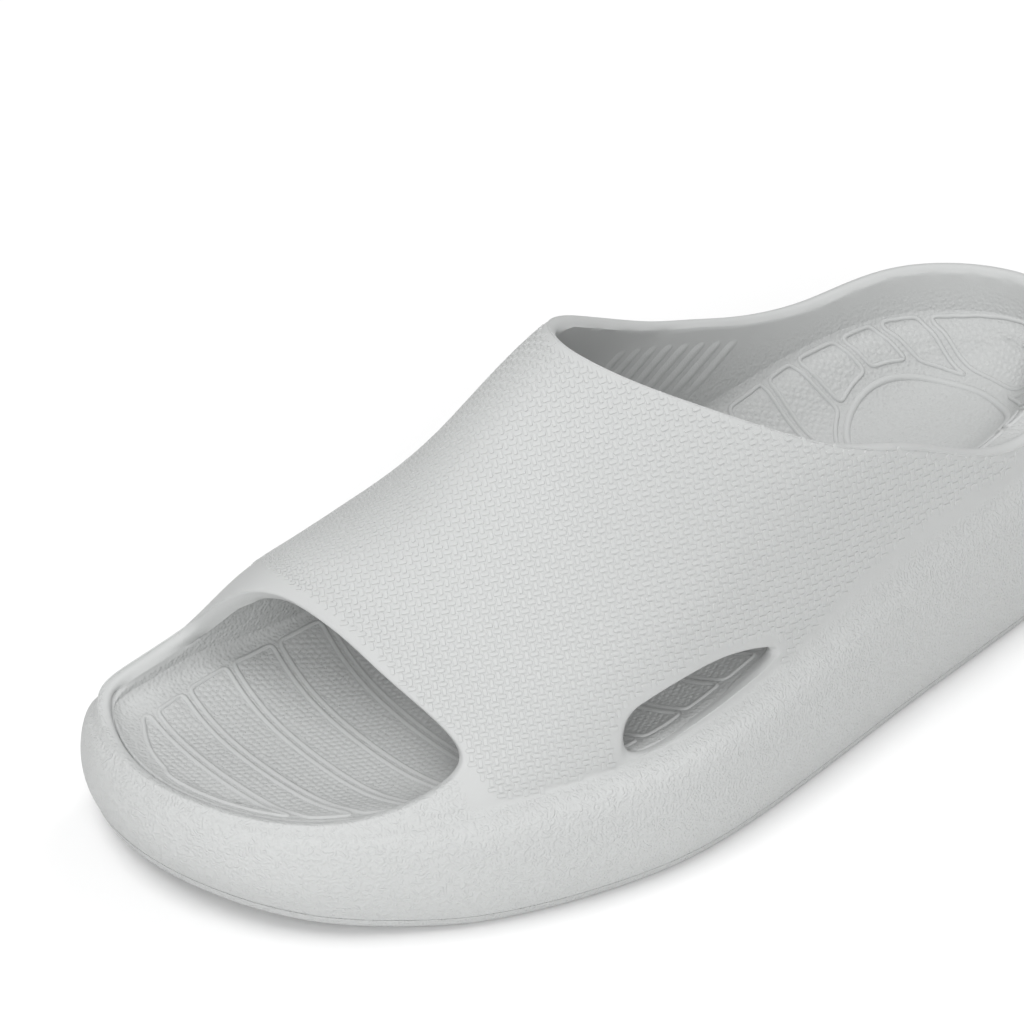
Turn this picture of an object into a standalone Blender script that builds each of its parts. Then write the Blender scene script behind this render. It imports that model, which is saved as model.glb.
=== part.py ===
# Sport slide sandal for the left foot, moulded in soft foam.
# Metres, Z up, toe toward -Y, outer side of the foot toward +X.
# Pieces: upper and midsole moulded as one, insole, outsole.
import math

import bmesh
import bpy
import numpy as np
from mathutils import Vector

MM = 0.001

# Driving sizes
LENGTH = 0.282
WIDTH = 0.1136
INSTEP_HEIGHT = 0.1075
WALL = 4.2 * MM
LIP_RISE = 1.8 * MM
TOE_SPRING = 7.0 * MM
TOE_SPRING_END = 0.22
HEEL_BEVEL = 1.5 * MM
HEEL_BEVEL_START = 0.93
OUTSOLE_THICKNESS = 3.4 * MM
OUTSOLE_INSET = 2.4 * MM
LUG_DEPTH = 1.5 * MM
LUG_TAPER = 1.2 * MM
INSOLE_THICKNESS = 4.0 * MM
GAP = 0.3 * MM
BOWL = 3.6
HEEL_BOWL_START = 0.76
TOE_BOWL_END = 0.12

# Columns of the ring of sections that the body is built on
TOE_MIDDLE = 0.30
TOE_COLUMNS = 7
HEEL_COLUMNS = 10
OUTER_VAMP_COLUMNS = (0.182, 0.228, 0.27, 0.309, 0.349, 0.389, 0.429, 0.469, 0.52, 0.57, 0.62)
INNER_VAMP_COLUMNS = (0.145, 0.19, 0.235, 0.28, 0.325, 0.37, 0.415, 0.46, 0.51, 0.565, 0.62)
ACROSS = 10
SLOT_FIRST = 3
SLOT_LAST = 7
SLOT_LOW = ((9.86, 0.037), (11.0, 0.050), (12.0, 0.085), (13.0, 0.090), (14.33, 0.128))
SLOT_HIGH = ((10.0, 0.546), (11.0, 0.594), (12.0, 0.565), (13.0, 0.493), (14.1, 0.288))


def table(names, rows):
    """A short table as named columns of numbers."""
    return dict(zip(names.split(), np.array(rows, float).T))


# Along is a share of the length, middle and reach are shares of the width,
# shoulder, floor and edge are shares of the instep height.
SOLE = table("along middle reach shoulder floor edge", (
    (0.00, -0.190, 0.776, 0.258, 0.229, 0.243),
    (0.04, -0.182, 0.775, 0.258, 0.227, 0.248),
    (0.10, -0.120, 0.655, 0.258, 0.224, 0.258),
    (0.18, -0.058, 0.591, 0.263, 0.224, 0.270),
    (0.27, -0.018, 0.552, 0.273, 0.229, 0.281),
    (0.36, 0.013, 0.518, 0.286, 0.239, 0.296),
    (0.45, 0.025, 0.475, 0.302, 0.258, 0.320),
    (0.55, 0.022, 0.439, 0.324, 0.281, 0.353),
    (0.67, 0.006, 0.428, 0.359, 0.315, 0.410),
    (0.80, -0.008, 0.462, 0.378, 0.344, 0.468),
    (0.91, -0.006, 0.525, 0.391, 0.353, 0.487),
    (1.00, 0.000, 0.542, 0.401, 0.363, 0.491),
))


# The wall above the sole. The insets are shares of the width, the heights and the
# lift are shares of the instep height, low and high are shares of the wall's rise.
UPPER = table("along valley lift outer_inset outer_height inner_inset inner_height low high floor_inset", (
    (0.000, 0.031, 0.003, 0.043, 0.272, 0.043, 0.272, 0.33, 0.66, 0.081),
    (0.050, 0.031, 0.003, 0.043, 0.273, 0.043, 0.296, 0.33, 0.66, 0.081),
    (0.100, 0.034, 0.003, 0.051, 0.282, 0.047, 0.318, 0.33, 0.66, 0.086),
    (0.145, 0.043, 0.003, 0.077, 0.310, 0.059, 0.354, 0.30, 0.64, 0.090),
    (0.185, 0.057, 0.003, 0.123, 0.358, 0.079, 0.448, 0.22, 0.58, 0.090),
    (0.250, 0.067, 0.003, 0.114, 0.429, 0.099, 0.496, 0.12, 0.52, 0.090),
    (0.310, 0.069, 0.003, 0.106, 0.487, 0.103, 0.539, 0.10, 0.50, 0.090),
    (0.390, 0.069, 0.003, 0.102, 0.539, 0.101, 0.587, 0.14, 0.46, 0.090),
    (0.470, 0.067, 0.004, 0.096, 0.601, 0.094, 0.639, 0.18, 0.42, 0.090),
    (0.550, 0.060, 0.010, 0.074, 0.668, 0.081, 0.692, 0.26, 0.54, 0.090),
    (0.620, 0.051, 0.019, 0.056, 0.711, 0.067, 0.701, 0.33, 0.66, 0.090),
    (0.700, 0.043, 0.025, 0.045, 0.606, 0.058, 0.630, 0.33, 0.66, 0.095),
    (0.800, 0.038, 0.029, 0.042, 0.491, 0.054, 0.587, 0.33, 0.66, 0.095),
    (0.880, 0.038, 0.029, 0.051, 0.496, 0.060, 0.620, 0.33, 0.66, 0.099),
    (0.950, 0.038, 0.029, 0.069, 0.573, 0.070, 0.628, 0.33, 0.66, 0.108),
    (1.000, 0.038, 0.029, 0.078, 0.625, 0.078, 0.625, 0.33, 0.66, 0.108),
))


# Free edges of the band over the foot, from the outer side to the inner side
FRONT_EDGE = table("side along height", (
    (0.280, 0.185, 0.367),
    (0.244, 0.182, 0.406),
    (0.176, 0.175, 0.453),
    (0.099, 0.165, 0.506),
    (0.018, 0.162, 0.549),
    (-0.068, 0.158, 0.577),
    (-0.144, 0.155, 0.592),
    (-0.208, 0.151, 0.582),
    (-0.280, 0.145, 0.534),
    (-0.334, 0.140, 0.472),
    (-0.397, 0.140, 0.401),
))
REAR_EDGE = table("side along height", (
    (0.384, 0.620, 0.716),
    (0.370, 0.564, 0.773),
    (0.325, 0.516, 0.840),
    (0.262, 0.473, 0.902),
    (0.171, 0.429, 0.959),
    (0.072, 0.402, 1.002),
    (-0.036, 0.395, 1.018),
    (-0.126, 0.418, 0.997),
    (-0.203, 0.469, 0.930),
    (-0.271, 0.527, 0.835),
    (-0.316, 0.578, 0.759),
    (-0.338, 0.620, 0.701),
))
# How far the band sinks between its free edges, as shares of the instep height
BAND_DIP = table("along drop", (
    (0.00, 0.000),
    (0.20, 0.048),
    (0.38, 0.062),
    (0.55, 0.047),
    (0.75, 0.021),
    (1.00, 0.000),
))


# Curves
def smooth_curve(at, knots, values):
    """Value of a smooth curve through the knots, as a cubic with gentle slopes."""
    steps = np.diff(knots)
    rises = np.diff(values) / steps
    slopes = np.concatenate([[rises[0]], np.zeros(len(knots) - 2), [rises[-1]]])
    weight = steps[1:] / (steps[:-1] + steps[1:])
    slopes[1:-1] = weight * rises[:-1] + (1 - weight) * rises[1:]
    at = np.clip(np.asarray(at, float), knots[0], knots[-1])
    cell = np.clip(np.searchsorted(knots, at, side="right") - 1, 0, len(steps) - 1)
    width = steps[cell]
    part = (at - knots[cell]) / width
    start = values[cell] * (1 + 2 * part) * (1 - part) ** 2 + slopes[cell] * width * part * (1 - part) ** 2
    end = values[cell + 1] * part ** 2 * (3 - 2 * part) - slopes[cell + 1] * width * part ** 2 * (1 - part)
    return start + end


def look_up(rows, name, along):
    """One column of a table at a share of the length."""
    return smooth_curve(along, rows["along"], rows[name])


def edge_curve(rows, count):
    """Points at equal steps along a free edge of the band."""
    knots = np.stack([
        rows["side"] * WIDTH,
        (rows["along"] - 0.5) * LENGTH,
        rows["height"] * INSTEP_HEIGHT,
    ], 1)
    run = np.concatenate([[0], np.cumsum(np.linalg.norm(np.diff(knots, axis=0), axis=1))])
    at = np.linspace(0, run[-1], count)
    return np.stack([smooth_curve(at, run, knots[:, axis]) for axis in range(3)], 1)


# Outline of the sole
def widest_line(turn):
    """Places on the widest line: turn 0 is the toe, pi the heel, and the outer side comes first."""
    turn = np.mod(turn, 2 * math.pi)
    outer = turn <= math.pi
    turn = np.where(outer, turn, 2 * math.pi - turn)
    along = (1 - np.cos(turn)) / 2
    half = look_up(SOLE, "reach", along) * WIDTH * np.sin(turn)
    side = look_up(SOLE, "middle", along) * WIDTH + np.where(outer, half, -half)
    return np.stack([side, (along - 0.5) * LENGTH], 1), along, outer


def outward(turn):
    """Direction in plan that points away from the foot."""
    step = 0.01
    run = widest_line(turn + step)[0] - widest_line(turn - step)[0]
    run /= np.linalg.norm(run, axis=1)[:, None]
    return np.stack([run[:, 1], -run[:, 0]], 1)


def turn_at(along):
    """Turn on the outer side at a share of the length."""
    return math.acos(1 - 2 * along)


def spread_turns(first, last, count):
    """Turns at equal steps along the widest line."""
    dense = np.linspace(first, last, 400)
    places = widest_line(dense)[0]
    run = np.concatenate([[0], np.cumsum(np.linalg.norm(np.diff(places, axis=0), axis=1))])
    return np.interp(np.linspace(0, run[-1], count + 1), run, dense)


def ring_turns():
    """Turns of all columns, from the middle of the toe along the outer side."""
    outer = [turn_at(along) for along in OUTER_VAMP_COLUMNS]
    inner = [2 * math.pi - turn_at(along) for along in reversed(INNER_VAMP_COLUMNS)]
    toe_end = 2 * math.pi + TOE_MIDDLE
    parts = [
        spread_turns(TOE_MIDDLE, outer[0], TOE_COLUMNS)[:-1],
        outer[:-1],
        spread_turns(outer[-1], math.pi, HEEL_COLUMNS)[:-1],
        spread_turns(math.pi, inner[0], HEEL_COLUMNS)[:-1],
        inner[:-1],
        spread_turns(inner[-1], toe_end, TOE_COLUMNS)[:-1],
    ]
    return np.concatenate(parts)


TURNS = ring_turns()
PLACES, ALONG, OUTER_SIDE = widest_line(TURNS)
OUTWARD = outward(TURNS)
COLUMNS = len(TURNS)
VAMP_CELLS = len(OUTER_VAMP_COLUMNS) - 1
TOE_OUTER = TOE_COLUMNS
COLLAR_OUTER = TOE_OUTER + VAMP_CELLS
COLLAR_INNER = COLLAR_OUTER + 2 * HEEL_COLUMNS
TOE_INNER = COLLAR_INNER + VAMP_CELLS


def ring_row(inset, height):
    """One row of points around the shoe, set in from the widest line."""
    inset = np.broadcast_to(inset, COLUMNS)
    height = np.broadcast_to(height, COLUMNS)
    plan = PLACES - OUTWARD * inset[:, None]
    return np.column_stack([plan, height])


def by_side(outer_name, inner_name):
    """A column of the upper's table that differs from side to side."""
    outer = look_up(UPPER, outer_name, ALONG)
    return np.where(OUTER_SIDE, outer, look_up(UPPER, inner_name, ALONG))


# Heights around the shoe
def base_height():
    """Underside of the outsole, lifted at the toe and a little at the heel."""
    toe = TOE_SPRING * np.clip(1 - ALONG / TOE_SPRING_END, 0, 1) ** 2
    heel = HEEL_BEVEL * np.clip((ALONG - HEEL_BEVEL_START) / (1 - HEEL_BEVEL_START), 0, 1) ** 2
    return toe + heel


BASE = base_height()
SHOULDER = look_up(SOLE, "shoulder", ALONG) * INSTEP_HEIGHT
FLOOR = look_up(SOLE, "floor", ALONG) * INSTEP_HEIGHT
FLOOR_INSET = look_up(UPPER, "floor_inset", ALONG) * WIDTH
FLOOR_EDGE = look_up(SOLE, "edge", ALONG) * INSTEP_HEIGHT
TUB = FLOOR - INSOLE_THICKNESS


# Mesh helpers
def refine(points, faces):
    """A mesh with one round of subdivision, its open borders kept."""
    cage = bpy.data.meshes.new("cage")
    cage.from_pydata([tuple(p) for p in points], [], faces)
    holder = bpy.data.objects.new("cage", cage)
    bpy.context.scene.collection.objects.link(holder)
    modifier = holder.modifiers.new("refine", "SUBSURF")
    modifier.levels = 1
    modifier.render_levels = 1
    graph = bpy.context.evaluated_depsgraph_get()
    result = bmesh.new()
    result.from_mesh(holder.evaluated_get(graph).to_mesh())
    bpy.data.objects.remove(holder)
    bpy.data.meshes.remove(cage)
    return result


def border_near(mesh, place):
    """The open border that passes nearest to a place, in order, starting there."""
    ends = {v for e in mesh.edges if e.is_boundary for v in e.verts}
    first = min(ends, key=lambda v: (v.co - place).length)
    loop = [first]
    before = None
    while True:
        edges = [e for e in loop[-1].link_edges if e.is_boundary]
        ahead = [e.other_vert(loop[-1]) for e in edges]
        onward = [v for v in ahead if v is not before]
        before = loop[-1]
        if onward[0] is first or (len(loop) > 2 and first in onward):
            return loop
        loop.append(onward[0])


def close_border(mesh, place):
    """Close one border with strips from the outer side to the inner side."""
    loop = border_near(mesh, place)
    half = len(loop) // 2
    faces = [mesh.faces.new((loop[0], loop[1], loop[-1]))]
    for k in range(1, half - 1):
        faces.append(mesh.faces.new((loop[k], loop[k + 1], loop[-k - 1], loop[-k])))
    faces.append(mesh.faces.new((loop[half - 1], loop[half], loop[half + 1])))
    return faces


def finish_piece(name, mesh, material):
    """A named object with outward faces and its material."""
    bmesh.ops.recalc_face_normals(mesh, faces=mesh.faces)
    data = bpy.data.meshes.new(name)
    mesh.to_mesh(data)
    mesh.free()
    data.materials.append(material)
    data.shade_smooth()
    data.set_sharp_from_angle(angle=math.radians(40))
    piece = bpy.data.objects.new(name, data)
    bpy.context.scene.collection.objects.link(piece)
    return piece


def foam(name, colour, roughness):
    """A plain matt foam material."""
    material = bpy.data.materials.new(name)
    material.use_nodes = True
    shader = material.node_tree.nodes["Principled BSDF"]
    shader.inputs["Base Color"].default_value = (*colour, 1)
    shader.inputs["Roughness"].default_value = roughness
    return material


class Cage:
    """Points and faces gathered before they are refined."""

    def __init__(self):
        self.points = []
        self.faces = []

    def add_row(self, row):
        first = len(self.points)
        self.points.extend(np.asarray(row, float))
        return list(range(first, first + len(row)))

    def add_ring_strip(self, low, high, skip=()):
        for c in range(len(low)):
            after = (c + 1) % len(low)
            if c not in skip:
                self.faces.append((low[c], low[after], high[after], high[c]))

    def add_grid(self, grid):
        for i in range(len(grid) - 1):
            for j in range(len(grid[0]) - 1):
                self.faces.append((grid[i][j], grid[i + 1][j], grid[i + 1][j + 1], grid[i][j + 1]))

    def normals(self):
        """Normals of the points, from the faces that meet there."""
        points = np.array(self.points)
        total = np.zeros_like(points)
        for face in self.faces:
            a, b, c, d = points[list(face)]
            total[list(face)] += np.cross(c - a, d - b)
        return total / np.maximum(np.linalg.norm(total, axis=1), 1e-12)[:, None]


# Upper and midsole
def outer_rows():
    """Rows of the outer face, from the parting line up to the edge of the band."""
    rise = SHOULDER - BASE
    valley_inset = look_up(UPPER, "valley", ALONG) * WIDTH
    valley_height = SHOULDER + look_up(UPPER, "lift", ALONG) * INSTEP_HEIGHT
    top_inset = by_side("outer_inset", "inner_inset") * WIDTH
    top_height = by_side("outer_height", "inner_height") * INSTEP_HEIGHT
    rows = [
        ring_row(OUTSOLE_INSET, BASE + OUTSOLE_THICKNESS),
        ring_row(0.6 * MM, BASE + 0.32 * rise),
        ring_row(-0.3 * MM, BASE + 0.62 * rise),
        ring_row(1.4 * MM, SHOULDER - 0.4 * MM),
        ring_row(valley_inset, valley_height),
    ]

    def wall_row(share):
        """A row part of the way from the valley to the top."""
        inset = valley_inset + (top_inset - valley_inset) * share ** 1.2
        return ring_row(inset, valley_height + (top_height - valley_height) * share)

    for name, slot_edge in (("low", SLOT_LOW), ("high", SLOT_HIGH)):
        row = wall_row(look_up(UPPER, name, ALONG))
        for k, (column, share) in enumerate(slot_edge):
            near = wall_row(share)
            first = int(column)
            row[TOE_OUTER + SLOT_FIRST + k] = near[first] + (near[first + 1] - near[first]) * (column - first)
        rows.append(row)
    rows.append(ring_row(top_inset, top_height))
    return rows


def joined_edge(rows, first, last):
    """A free edge of the band whose ends meet the ring."""
    curve = edge_curve(rows, ACROSS + 1)
    share = np.linspace(0, 1, ACROSS + 1)[:, None]
    curve = curve + (1 - share) ** 2 * (first - curve[0]) + share ** 2 * (last - curve[-1])
    return curve


def band_points(top_row):
    """Points of the band over the foot, between its two free edges and its two sides."""
    outer = top_row[TOE_OUTER:COLLAR_OUTER + 1]
    inner = top_row[COLLAR_INNER:TOE_INNER + 1][::-1]
    front = joined_edge(FRONT_EDGE, outer[0], inner[0])
    rear = joined_edge(REAR_EDGE, outer[-1], inner[-1])
    grid = np.zeros((VAMP_CELLS + 1, ACROSS + 1, 3))
    for i in range(VAMP_CELLS + 1):
        u = i / VAMP_CELLS
        for j in range(ACROSS + 1):
            v = j / ACROSS
            lengthwise = (1 - u) * front[j] + u * rear[j]
            sideways = (1 - v) * outer[i] + v * inner[i]
            corners = (1 - u) * ((1 - v) * front[0] + v * front[-1]) + u * ((1 - v) * rear[0] + v * rear[-1])
            grid[i, j] = lengthwise + sideways - corners
            dip = look_up(BAND_DIP, "drop", u) * INSTEP_HEIGHT
            grid[i, j, 2] -= dip * math.sin(math.pi * v) * (0.6 + 0.6 * v)
    return grid


def ring_and_band(cage, rows, grid, skip):
    """Rows of the ring and the band on top, as one open sheet of the cage."""
    ids = [cage.add_row(row) for row in rows]
    for k in range(len(rows) - 1):
        cage.add_ring_strip(ids[k], ids[k + 1], skip if k == len(rows) - 3 else ())
    band = []
    for i in range(VAMP_CELLS + 1):
        middle = cage.add_row(grid[i][1:-1])
        band.append([ids[-1][TOE_OUTER + i]] + middle + [ids[-1][TOE_INNER - i]])
    cage.add_grid(band)
    return ids, band


def rim_loops(ids, band):
    """The points around the toe opening and the collar, each with the points just inside it."""
    top, below = ids[-1], ids[-2]
    toe_arc = list(range(TOE_INNER, COLUMNS)) + list(range(TOE_OUTER + 1))
    toe = [(top[c], [below[c]]) for c in toe_arc]
    toe[0][1].append(band[1][-1])
    toe[-1][1].append(band[1][0])
    toe += [(band[0][j], [band[1][j]]) for j in range(1, ACROSS)]
    collar = [(top[c], [below[c]]) for c in range(COLLAR_OUTER, COLLAR_INNER + 1)]
    collar[0][1].append(band[-2][0])
    collar[-1][1].append(band[-2][-1])
    collar += [(band[-1][j], [band[-2][j]]) for j in range(ACROSS - 1, 0, -1)]
    return toe, collar


def make_upper_and_midsole(material):
    """One moulded solid: side of the sole, band, collar, heel cup and the tub for the insole."""
    cage = Cage()
    rows = outer_rows()
    slot = range(TOE_OUTER + SLOT_FIRST, TOE_OUTER + SLOT_LAST)
    grid = band_points(rows[-1])
    ids, band = ring_and_band(cage, rows, grid, slot)
    normals = cage.normals()
    points = np.array(cage.points)
    inside = points - normals * WALL

    # The inner face follows the outer face where the wall is thin
    top = inside[ids[-1]]
    floor_row = ring_row(FLOOR_INSET, FLOOR_EDGE)
    on_band = np.zeros(COLUMNS, bool)
    on_band[TOE_OUTER:COLLAR_OUTER + 1] = True
    on_band[COLLAR_INNER:TOE_INNER + 1] = True
    share = {5: 2 / 3, 6: 1 / 3}
    inner = {k: np.where(on_band[:, None], inside[ids[k]], top + (floor_row - top) * share[k]) for k in share}
    inner_rows = [ring_row(FLOOR_INSET, TUB), floor_row, inner[5], inner[6], top]
    inner_grid = [[inside[band[i][j]] for j in range(ACROSS + 1)] for i in range(VAMP_CELLS + 1)]
    first_inner_face = len(cage.faces)
    inner_ids, inner_band = ring_and_band(cage, inner_rows, inner_grid, slot)

    # Rounded lips around the toe opening and the collar
    for outer_loop, inner_loop in zip(rim_loops(ids, band), rim_loops(inner_ids, inner_band)):
        crest = []
        for (rim, near), (inner_rim, _) in zip(outer_loop, inner_loop):
            away = sum((points[rim] - points[n]) / np.linalg.norm(points[rim] - points[n]) for n in near)
            away /= np.linalg.norm(away)
            crest.append((points[rim] + cage.points[inner_rim]) / 2 + away * LIP_RISE)
        crest_ids = cage.add_row(crest)
        cage.add_ring_strip([rim for rim, _ in outer_loop], crest_ids)
        cage.add_ring_strip(crest_ids, [rim for rim, _ in inner_loop])

    # The side slot, narrowing inward like a funnel
    columns = list(range(slot[0], slot[-1] + 2))
    outer_hole = [ids[5][c] for c in columns] + [ids[6][c] for c in reversed(columns)]
    inner_hole = [inner_ids[2][c] for c in columns] + [inner_ids[3][c] for c in reversed(columns)]
    middle = [0.55 * points[a] + 0.45 * cage.points[b] for a, b in zip(outer_hole, inner_hole)]
    centre = np.mean(middle, axis=0)
    hole_ids = cage.add_row([centre + (p - centre) * 0.94 for p in middle])
    cage.add_ring_strip(outer_hole, hole_ids)
    cage.add_ring_strip(hole_ids, inner_hole)

    mesh = refine(cage.points, cage.faces)
    for row in (rows[0], inner_rows[0]):
        close_border(mesh, Vector(row[0]))
    return finish_piece("upper_and_midsole", mesh, material)


def make_insole(material):
    """Footbed that drops into the tub, dished from edge to middle."""
    cage = Cage()
    side = FLOOR_INSET + 0.4 * MM
    border = ring_row(side + 2.0 * MM, FLOOR_EDGE - 0.1 * MM)
    rows = [
        ring_row(side, TUB + GAP),
        ring_row(side, FLOOR_EDGE - 0.9 * MM),
        border,
    ]
    ids = [cage.add_row(row) for row in rows]
    for low, high in zip(ids[:-1], ids[1:]):
        cage.add_ring_strip(low, high)
    half = COLUMNS // 2
    parts = 6
    shares = np.linspace(0, 1, parts + 1)[1:-1]
    across = 2 * shares - 1
    lines = []
    for c in range(1, half):
        other = COLUMNS - c
        floor = (FLOOR[c] + FLOOR[other]) / 2
        along = (ALONG[c] + ALONG[other]) / 2
        end = max((along - HEEL_BOWL_START) / (1 - HEEL_BOWL_START), 1 - along / TOE_BOWL_END, 0)
        line = border[c] + (border[other] - border[c]) * shares[:, None]
        bowl = 1 - (1 - np.abs(across) ** BOWL) * (1 - end ** BOWL)
        line[:, 2] = floor + (line[:, 2] - floor) * bowl
        lines.append([ids[-1][c]] + cage.add_row(line) + [ids[-1][other]])
    for tip, line in ((ids[-1][0], lines[0]), (ids[-1][half], lines[-1])):
        cage.faces.extend((tip, line[j], line[j + 1]) for j in range(parts))
    cage.add_grid(lines)
    mesh = refine(cage.points, cage.faces)
    close_border(mesh, Vector(rows[0][0]))
    return finish_piece("insole", mesh, material)


def make_outsole(material):
    """Thin tread plate below the parting line, with wide bars across its underside."""
    cage = Cage()
    inset = OUTSOLE_INSET
    rows = [
        ring_row(inset, BASE + OUTSOLE_THICKNESS - GAP),
        ring_row(inset + 0.6 * MM, BASE + 0.3 * OUTSOLE_THICKNESS),
        ring_row(inset + 2.2 * MM, BASE),
        ring_row(inset + 7.5 * MM, BASE),
        ring_row(inset + 8.5 * MM, BASE + LUG_DEPTH),
    ]
    ids = [cage.add_row(row) for row in rows]
    for low, high in zip(ids[:-1], ids[1:]):
        cage.add_ring_strip(high, low)
    mesh = refine(cage.points, cage.faces)
    close_border(mesh, Vector(rows[0][0]))
    strips = close_border(mesh, Vector(rows[-1][0]))
    bars = [strips[k:k + 3] for k in range(2, len(strips) - 4, 4)]
    for bar in bars:
        bmesh.ops.inset_region(mesh, faces=bar, thickness=LUG_TAPER, use_even_offset=True)
        for vertex in {v for face in bar for v in face.verts}:
            vertex.co.z -= LUG_DEPTH
    return finish_piece("outsole", mesh, material)


def centre_pieces(pieces):
    """Put the origin at the middle of the underside."""
    corners = np.array([v.co[:] for piece in pieces for v in piece.data.vertices])
    low, high = corners.min(0), corners.max(0)
    shift = np.array([-(low[0] + high[0]) / 2, -(low[1] + high[1]) / 2, -low[2]])
    for piece in pieces:
        for vertex in piece.data.vertices:
            vertex.co = Vector(np.array(vertex.co) + shift)
    return shift


for old in list(bpy.data.objects):
    bpy.data.objects.remove(old)

upper_foam = foam("upper_foam", (0.60, 0.61, 0.605), 0.7)
footbed_foam = foam("footbed_foam", (0.50, 0.51, 0.505), 0.75)
sole_foam = foam("sole_foam", (0.56, 0.57, 0.565), 0.8)
PIECES = [
    make_upper_and_midsole(upper_foam),
    make_insole(footbed_foam),
    make_outsole(sole_foam),
]
SHIFT = centre_pieces(PIECES)
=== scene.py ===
# %% [markdown]
# # A foam slide sandal, piece by piece
# The shoe is a left slide moulded in light grey foam. Almost all of it is one moulding,
# so the lesson is about one smooth body and the relief that the mould leaves on it:
# a woven pattern, soft ribs, panel outlines, small cells and three kinds of grain.
# Each step says what the real thing is, how it could be made in Blender, and why this way.

import math
from contextlib import contextmanager

import bmesh
import bpy
import numpy as np
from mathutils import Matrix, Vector
from mathutils.bvhtree import BVHTree


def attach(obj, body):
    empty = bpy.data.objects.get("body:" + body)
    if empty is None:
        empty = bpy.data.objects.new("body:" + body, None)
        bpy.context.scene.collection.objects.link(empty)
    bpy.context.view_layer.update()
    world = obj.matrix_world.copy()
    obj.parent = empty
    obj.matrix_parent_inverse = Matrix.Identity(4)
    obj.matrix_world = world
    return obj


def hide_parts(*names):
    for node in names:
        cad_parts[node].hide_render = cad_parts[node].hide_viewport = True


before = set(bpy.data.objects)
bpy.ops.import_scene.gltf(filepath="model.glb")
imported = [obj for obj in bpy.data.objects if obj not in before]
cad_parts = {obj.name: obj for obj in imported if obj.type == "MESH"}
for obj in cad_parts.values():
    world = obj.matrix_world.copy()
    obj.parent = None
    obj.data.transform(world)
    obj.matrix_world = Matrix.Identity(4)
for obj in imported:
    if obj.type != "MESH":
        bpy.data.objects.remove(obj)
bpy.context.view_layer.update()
MM = 0.001

# %% [markdown]
# ## Sizes and tables
# The last of the shoe is described the way a pattern cutter would: named sizes, and short
# tables with one row for each section. Along is a share of the length, and the other
# columns are shares of the width or of the instep height. Blender could sculpt the shape
# instead, but tables keep both sides of the shoe smooth and easy to correct.

# %% Named sizes
LENGTH = 0.282
WIDTH = 0.1136
INSTEP_HEIGHT = 0.1075
WALL = 4.2 * MM
LIP_RISE = 1.8 * MM
TOE_SPRING = 7.0 * MM
TOE_SPRING_END = 0.22
HEEL_BEVEL = 1.5 * MM
HEEL_BEVEL_START = 0.93
OUTSOLE_THICKNESS = 3.4 * MM
OUTSOLE_INSET = 2.4 * MM
LUG_DEPTH = 1.5 * MM
LUG_TAPER = 1.2 * MM
INSOLE_THICKNESS = 4.0 * MM
GAP = 0.3 * MM
BOWL = 3.6
HEEL_BOWL_START = 0.76
TOE_BOWL_END = 0.12
SHIFT = Vector((0.216, 0.208, 0.002)) * MM

TOE_MIDDLE = 0.30
TOE_COLUMNS = 7
HEEL_COLUMNS = 10
OUTER_VAMP_COLUMNS = (0.182, 0.228, 0.27, 0.309, 0.349, 0.389, 0.429, 0.469, 0.52, 0.57, 0.62)
INNER_VAMP_COLUMNS = (0.145, 0.19, 0.235, 0.28, 0.325, 0.37, 0.415, 0.46, 0.51, 0.565, 0.62)
ACROSS = 10
SLOT_FIRST = 3
SLOT_LAST = 7
SLOT_LOW = ((9.86, 0.037), (11.0, 0.050), (12.0, 0.085), (13.0, 0.090), (14.46, 0.116))
SLOT_HIGH = ((10.0, 0.546), (11.0, 0.594), (12.0, 0.565), (13.0, 0.493), (14.42, 0.230))
FINE = 3


def table(names, rows):
    """A short table as named columns of numbers."""
    return dict(zip(names.split(), np.array(rows, float).T))


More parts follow.
